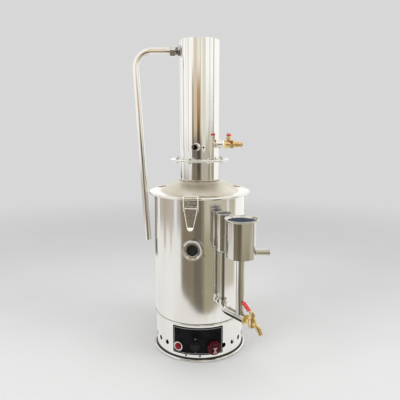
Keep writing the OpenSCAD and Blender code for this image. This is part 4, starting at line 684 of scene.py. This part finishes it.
def cardGlow(name, tones):
    # tones run up the card: height, colour
    glow = bpy.data.materials.new(name)
    glow.use_nodes = True
    tree = glow.node_tree
    tree.nodes.clear()
    out = tree.nodes.new("ShaderNodeOutputMaterial")
    light = tree.nodes.new("ShaderNodeEmission")
    light.inputs["Strength"].default_value = 1.0
    place = tree.nodes.new("ShaderNodeTexCoord")
    split = tree.nodes.new("ShaderNodeSeparateXYZ")
    share = tree.nodes.new("ShaderNodeMath")
    share.operation = "DIVIDE"
    share.inputs[1].default_value = studio["cardReach"]
    ramp = tree.nodes.new("ShaderNodeValToRGB")
    ramp.color_ramp.interpolation = "EASE"
    while len(ramp.color_ramp.elements) < len(tones):
        ramp.color_ramp.elements.new(0.5)
    for stop, (height, color) in zip(ramp.color_ramp.elements, tones):
        stop.position = height / studio["cardReach"]
        stop.color = (*color, 1)
    tree.links.new(place.outputs["Object"], split.inputs["Vector"])
    tree.links.new(split.outputs["Z"], share.inputs[0])
    tree.links.new(share.outputs["Value"], ramp.inputs["Fac"])
    tree.links.new(ramp.outputs["Color"], light.inputs["Color"])
    tree.links.new(light.outputs["Emission"], out.inputs["Surface"])
    return glow


def cardPiece(name, bm, tones, height=0.0):
    # Only gloss sees a card
    mesh = bpy.data.meshes.new(name)
    bm.to_mesh(mesh)
    bm.free()
    mesh.materials.append(cardGlow(name, tones))
    card = bpy.data.objects.new(name, mesh)
    card.location.z = height
    card.visible_camera = False
    card.visible_diffuse = False
    card.visible_shadow = False
    card.visible_transmission = False
    bpy.context.scene.collection.objects.link(card)


def polar(r, az, z=0.0):
    return (r * sin(radians(az)), -r * cos(radians(az)), z)


def ribbon(bm, pairs):
    # A strip of faces; pairs are the two ends of each cross line
    made = [[bm.verts.new(end) for end in pair] for pair in pairs]
    for last, pair in zip(made, made[1:]):
        bm.faces.new((last[0], pair[0], pair[1], last[1]))


# The room that the polished steel mirrors: bearings from and to, radius, top, tones by height
pale, white = (0.90, 0.895, 0.88), (1.08, 1.08, 1.06)
brown, dark, olive, cream = (0.25, 0.21, 0.15), (0.165, 0.145, 0.11), (0.37, 0.34, 0.23), (0.56, 0.52, 0.42)
beige, sand, dusk, ash = (0.52, 0.48, 0.42), (0.74, 0.56, 0.35), (0.18, 0.17, 0.15), (0.09, 0.08, 0.08)
clay = (0.60, 0.50, 0.42)
backTones = [(0, dusk), (0.34, dusk), (0.46, pale)]
edgeTones = [(0, dusk), (0.12, dusk), (0.16, pale), (0.24, white)]
studioCards = dict(
    cardJamb=(-43, -33, 0.60, 2.2,
              [(0, brown), (0.42, brown), (0.52, dusk), (0.72, (0.45, 0.43, 0.41)), (0.86, white)]),
    cardRoom=(-33, 10, 0.60, 2.2,
              [(0, brown), (0.42, brown), (0.50, dusk), (0.60, sand), (0.95, (0.84, 0.74, 0.58))]),
    cardDoor=(-13, 4, 0.59, 2.2,
              [(0, dark), (0.36, dark), (0.45, ash), (0.54, ash), (0.70, (0.44, 0.31, 0.22)), (0.84, pale)]),
    cardWall=(10, 50, 0.60, 2.2,
              [(0, olive), (0.16, olive), (0.30, cream), (0.50, beige), (0.60, pale), (0.80, white)]),
    cardCurtain=(50, 92, 0.60, 2.2,
                 [(0, cream), (0.30, cream), (0.42, olive), (0.54, cream), (0.64, pale), (0.80, white)]),
    cardWindow=(-128, -43, 0.62, 2.4,
                [(0, pale), (0.17, pale), (0.27, beige), (0.36, beige), (0.46, pale), (0.62, white)]),
    cardFrame=(-93, -86, 0.61, 2.4,
               [(0, (0.62, 0.54, 0.47)), (0.36, (0.50, 0.42, 0.35)), (0.50, pale), (0.62, white)]),
    cardStripeOne=(-118, -111, 0.61, 0.5, [(0, pale), (0.17, pale), (0.27, white), (0.5, white)]),
    cardStripeTwo=(-72, -67, 0.61, 0.5, [(0, pale), (0.10, pale), (0.20, clay), (0.36, clay), (0.5, pale)]),
    cardStripeThree=(-60, -52, 0.61, 0.5, [(0, pale), (0.17, pale), (0.27, (0.86, 0.88, 0.94)), (0.5, pale)]),
    cardStripeFour=(66, 71, 0.59, 0.6, [(0, cream), (0.14, cream), (0.24, pale), (0.6, pale)]),
    cardRosy=(-92, -80, 0.59, 0.15, [(0, pale), (1, pale)]),
    cardSide=(92, 150, 0.62, 2.4, [(0, pale), (0.3, white)]),
    cardBackLeft=(-180, -128, 0.9, 2.4, backTones),
    cardBackRight=(150, 180, 0.9, 2.4, backTones),
    cardEdgeLeft=(-170, -158, 0.88, 2.4, edgeTones),
    cardEdgeRight=(158, 170, 0.88, 2.4, edgeTones),
)
for name, (az0, az1, radius, high, tones) in studioCards.items():
    bm = bmesh.new()
    bearings = [az0 + (az1 - az0) * k / 16 for k in range(17)]
    ribbon(bm, [(polar(radius, az), polar(radius, az, high)) for az in bearings])
    cardPiece(name, bm, tones)

# Stripes high up, seen by the condenser alone: bearings from and to, colour
highStripes = dict(
    highOne=(84, 90, (0.50, 0.42, 0.32)),
    highTwo=(57, 61, (0.66, 0.64, 0.54)),
    highThree=(16, 34, (0.80, 0.78, 0.66)),
    highFour=(-68, -63, (0.74, 0.66, 0.58)),
    highFive=(-83, -79, (0.80, 0.76, 0.72)),
    highSix=(-110, -104, (0.62, 0.60, 0.57)),
)
stripe = dict(radius=0.57, low=0.5, high=1.6)
for name, (az0, az1, color) in highStripes.items():
    bm = bmesh.new()
    corners = [(az0, stripe["low"]), (az1, stripe["low"]), (az1, stripe["high"]), (az0, stripe["high"])]
    bm.faces.new([bm.verts.new(polar(stripe["radius"], az, z)) for az, z in corners])
    cardPiece(name, bm, [(0, color), (1, color)])

# Floor as gloss sees it: pale, with the room's shadowed part reaching in to a blunt point.
# Bearings with inner radii, outer radius, height, colour
floorCards = dict(
    cardFloor=([(az, 0.128) for az in range(-180, 181, 10)], 0.95, 0.0002, (0.88, 0.87, 0.85)),
    cardRoomFloor=([(-43, 0.60), (-36, 0.55), (-25, 0.50), (-13, 0.445), (10, 0.40)], 0.60, 0.0006, brown),
    cardDoorFloor=([(-13, 0.445), (-4, 0.415), (5, 0.405)], 0.60, 0.0008, dark),
    cardWallFloor=([(10, 0.40), (26, 0.41), (38, 0.44), (50, 0.50)], 0.60, 0.0006, olive),
)
for name, (edge, outside, height, color) in floorCards.items():
    bm = bmesh.new()
    ribbon(bm, [(polar(outside, az), polar(inside, az)) for az, inside in edge])
    cardPiece(name, bm, [(0, color), (1, color)], height)
ceiling = dict(half=1.5, height=2.45, color=(0.90, 0.89, 0.86))
bm = bmesh.new()
bmesh.ops.create_grid(bm, x_segments=1, y_segments=1, size=ceiling["half"])
cardPiece("cardCeiling", bm, [(0, ceiling["color"]), (1, ceiling["color"])], ceiling["height"])

# The world gives soft light; the camera, gloss and glass see the plain background
world = bpy.data.worlds.new("studioWorld")
bpy.context.scene.world = world
world.use_nodes = True
tree = world.node_tree
tree.nodes.clear()
out = tree.nodes.new("ShaderNodeOutputWorld")
soft = tree.nodes.new("ShaderNodeBackground")
soft.inputs["Color"].default_value = (1, 1, 1, 1)
soft.inputs["Strength"].default_value = studio["worldStrength"]
shown = tree.nodes.new("ShaderNodeBackground")
shown.inputs["Color"].default_value = (*studio["background"], 1)
shown.inputs["Strength"].default_value = 1.0
path = tree.nodes.new("ShaderNodeLightPath")
seen = path.outputs["Is Camera Ray"]
for ray in ("Is Glossy Ray", "Is Transmission Ray"):
    either = tree.nodes.new("ShaderNodeMath")
    either.operation = "MAXIMUM"
    tree.links.new(seen, either.inputs[0])
    tree.links.new(path.outputs[ray], either.inputs[1])
    seen = either.outputs["Value"]
mixShaders(tree, seen, soft.outputs["Background"], shown.outputs["Background"], out)

# Floor: pale, and fading into the background with distance
bm = bmesh.new()
bmesh.ops.create_circle(bm, cap_ends=True, segments=96, radius=studio["floorRadius"])
floorMesh = bpy.data.meshes.new("floor")
bm.to_mesh(floorMesh)
bm.free()
floor = bpy.data.objects.new("floor", floorMesh)
floor.location.z = studio["floorHeight"]
bpy.context.scene.collection.objects.link(floor)
floorFinish = newFinish("floorFinish", studio["floor"], 0.0, 0.7, Specular_IOR_Level=0.2)
darker = tuple(c * studio["floorMottle"] for c in studio["floor"])
mottle(floorFinish, grain(floorFinish, 6, 2), darker, studio["floor"])
floorMesh.materials.append(floorFinish)
tree = floorFinish.node_tree
far = tree.nodes.new("ShaderNodeEmission")
far.inputs["Color"].default_value = (*studio["background"], 1)
where = tree.nodes.new("ShaderNodeTexCoord")
reach = tree.nodes.new("ShaderNodeVectorMath")
reach.operation = "LENGTH"
tree.links.new(where.outputs["Object"], reach.inputs[0])
fade = mapRange(tree, reach.outputs["Value"], studio["fadeStart"], studio["fadeEnd"], smooth=True)
mixShaders(tree, fade, tree.nodes["Principled BSDF"].outputs["BSDF"], far.outputs["Emission"], outputOf(tree))


def softLamp(name, spot, width, height, power, target):
    lamp = bpy.data.lights.new(name, "AREA")
    lamp.shape = "RECTANGLE"
    lamp.size = width
    lamp.size_y = height
    lamp.energy = power
    piece = bpy.data.objects.new(name, lamp)
    piece.location = spot
    piece.rotation_euler = (Vector(target) - Vector(spot)).to_track_quat("-Z", "Y").to_euler()
    piece.visible_glossy = False  # the steel mirrors the cards only
    bpy.context.scene.collection.objects.link(piece)


lamps = dict(
    lampLeft=dict(spot=(-1.8, -1.3, 1.6), width=1.0, height=1.6, power=26),
    lampRight=dict(spot=(1.9, -0.9, 1.5), width=0.8, height=1.6, power=16),
    lampTop=dict(spot=(0.2, -0.4, 2.2), width=1.4, height=1.4, power=16),
)
for name, values in lamps.items():
    softLamp(name, target=(0, 0, 0.4), **values)

# Camera where the photograph was taken from; tilt in degrees from straight down
view = dict(lens=39.904, sensor=36, place=(0.0013, -1.17255, 0.60449), tilt=80.145)
camera = bpy.data.cameras.new("photoCamera")
camera.lens = view["lens"]
camera.sensor_width = view["sensor"]
camera.clip_start = 0.01
camera.clip_end = 100
cameraPiece = bpy.data.objects.new("photoCamera", camera)
cameraPiece.location = view["place"]
cameraPiece.rotation_euler = (radians(view["tilt"]), 0, 0)
bpy.context.scene.collection.objects.link(cameraPiece)
bpy.context.scene.camera = cameraPiece
bpy.context.scene.view_settings.view_transform = "Standard"
print("studio set")
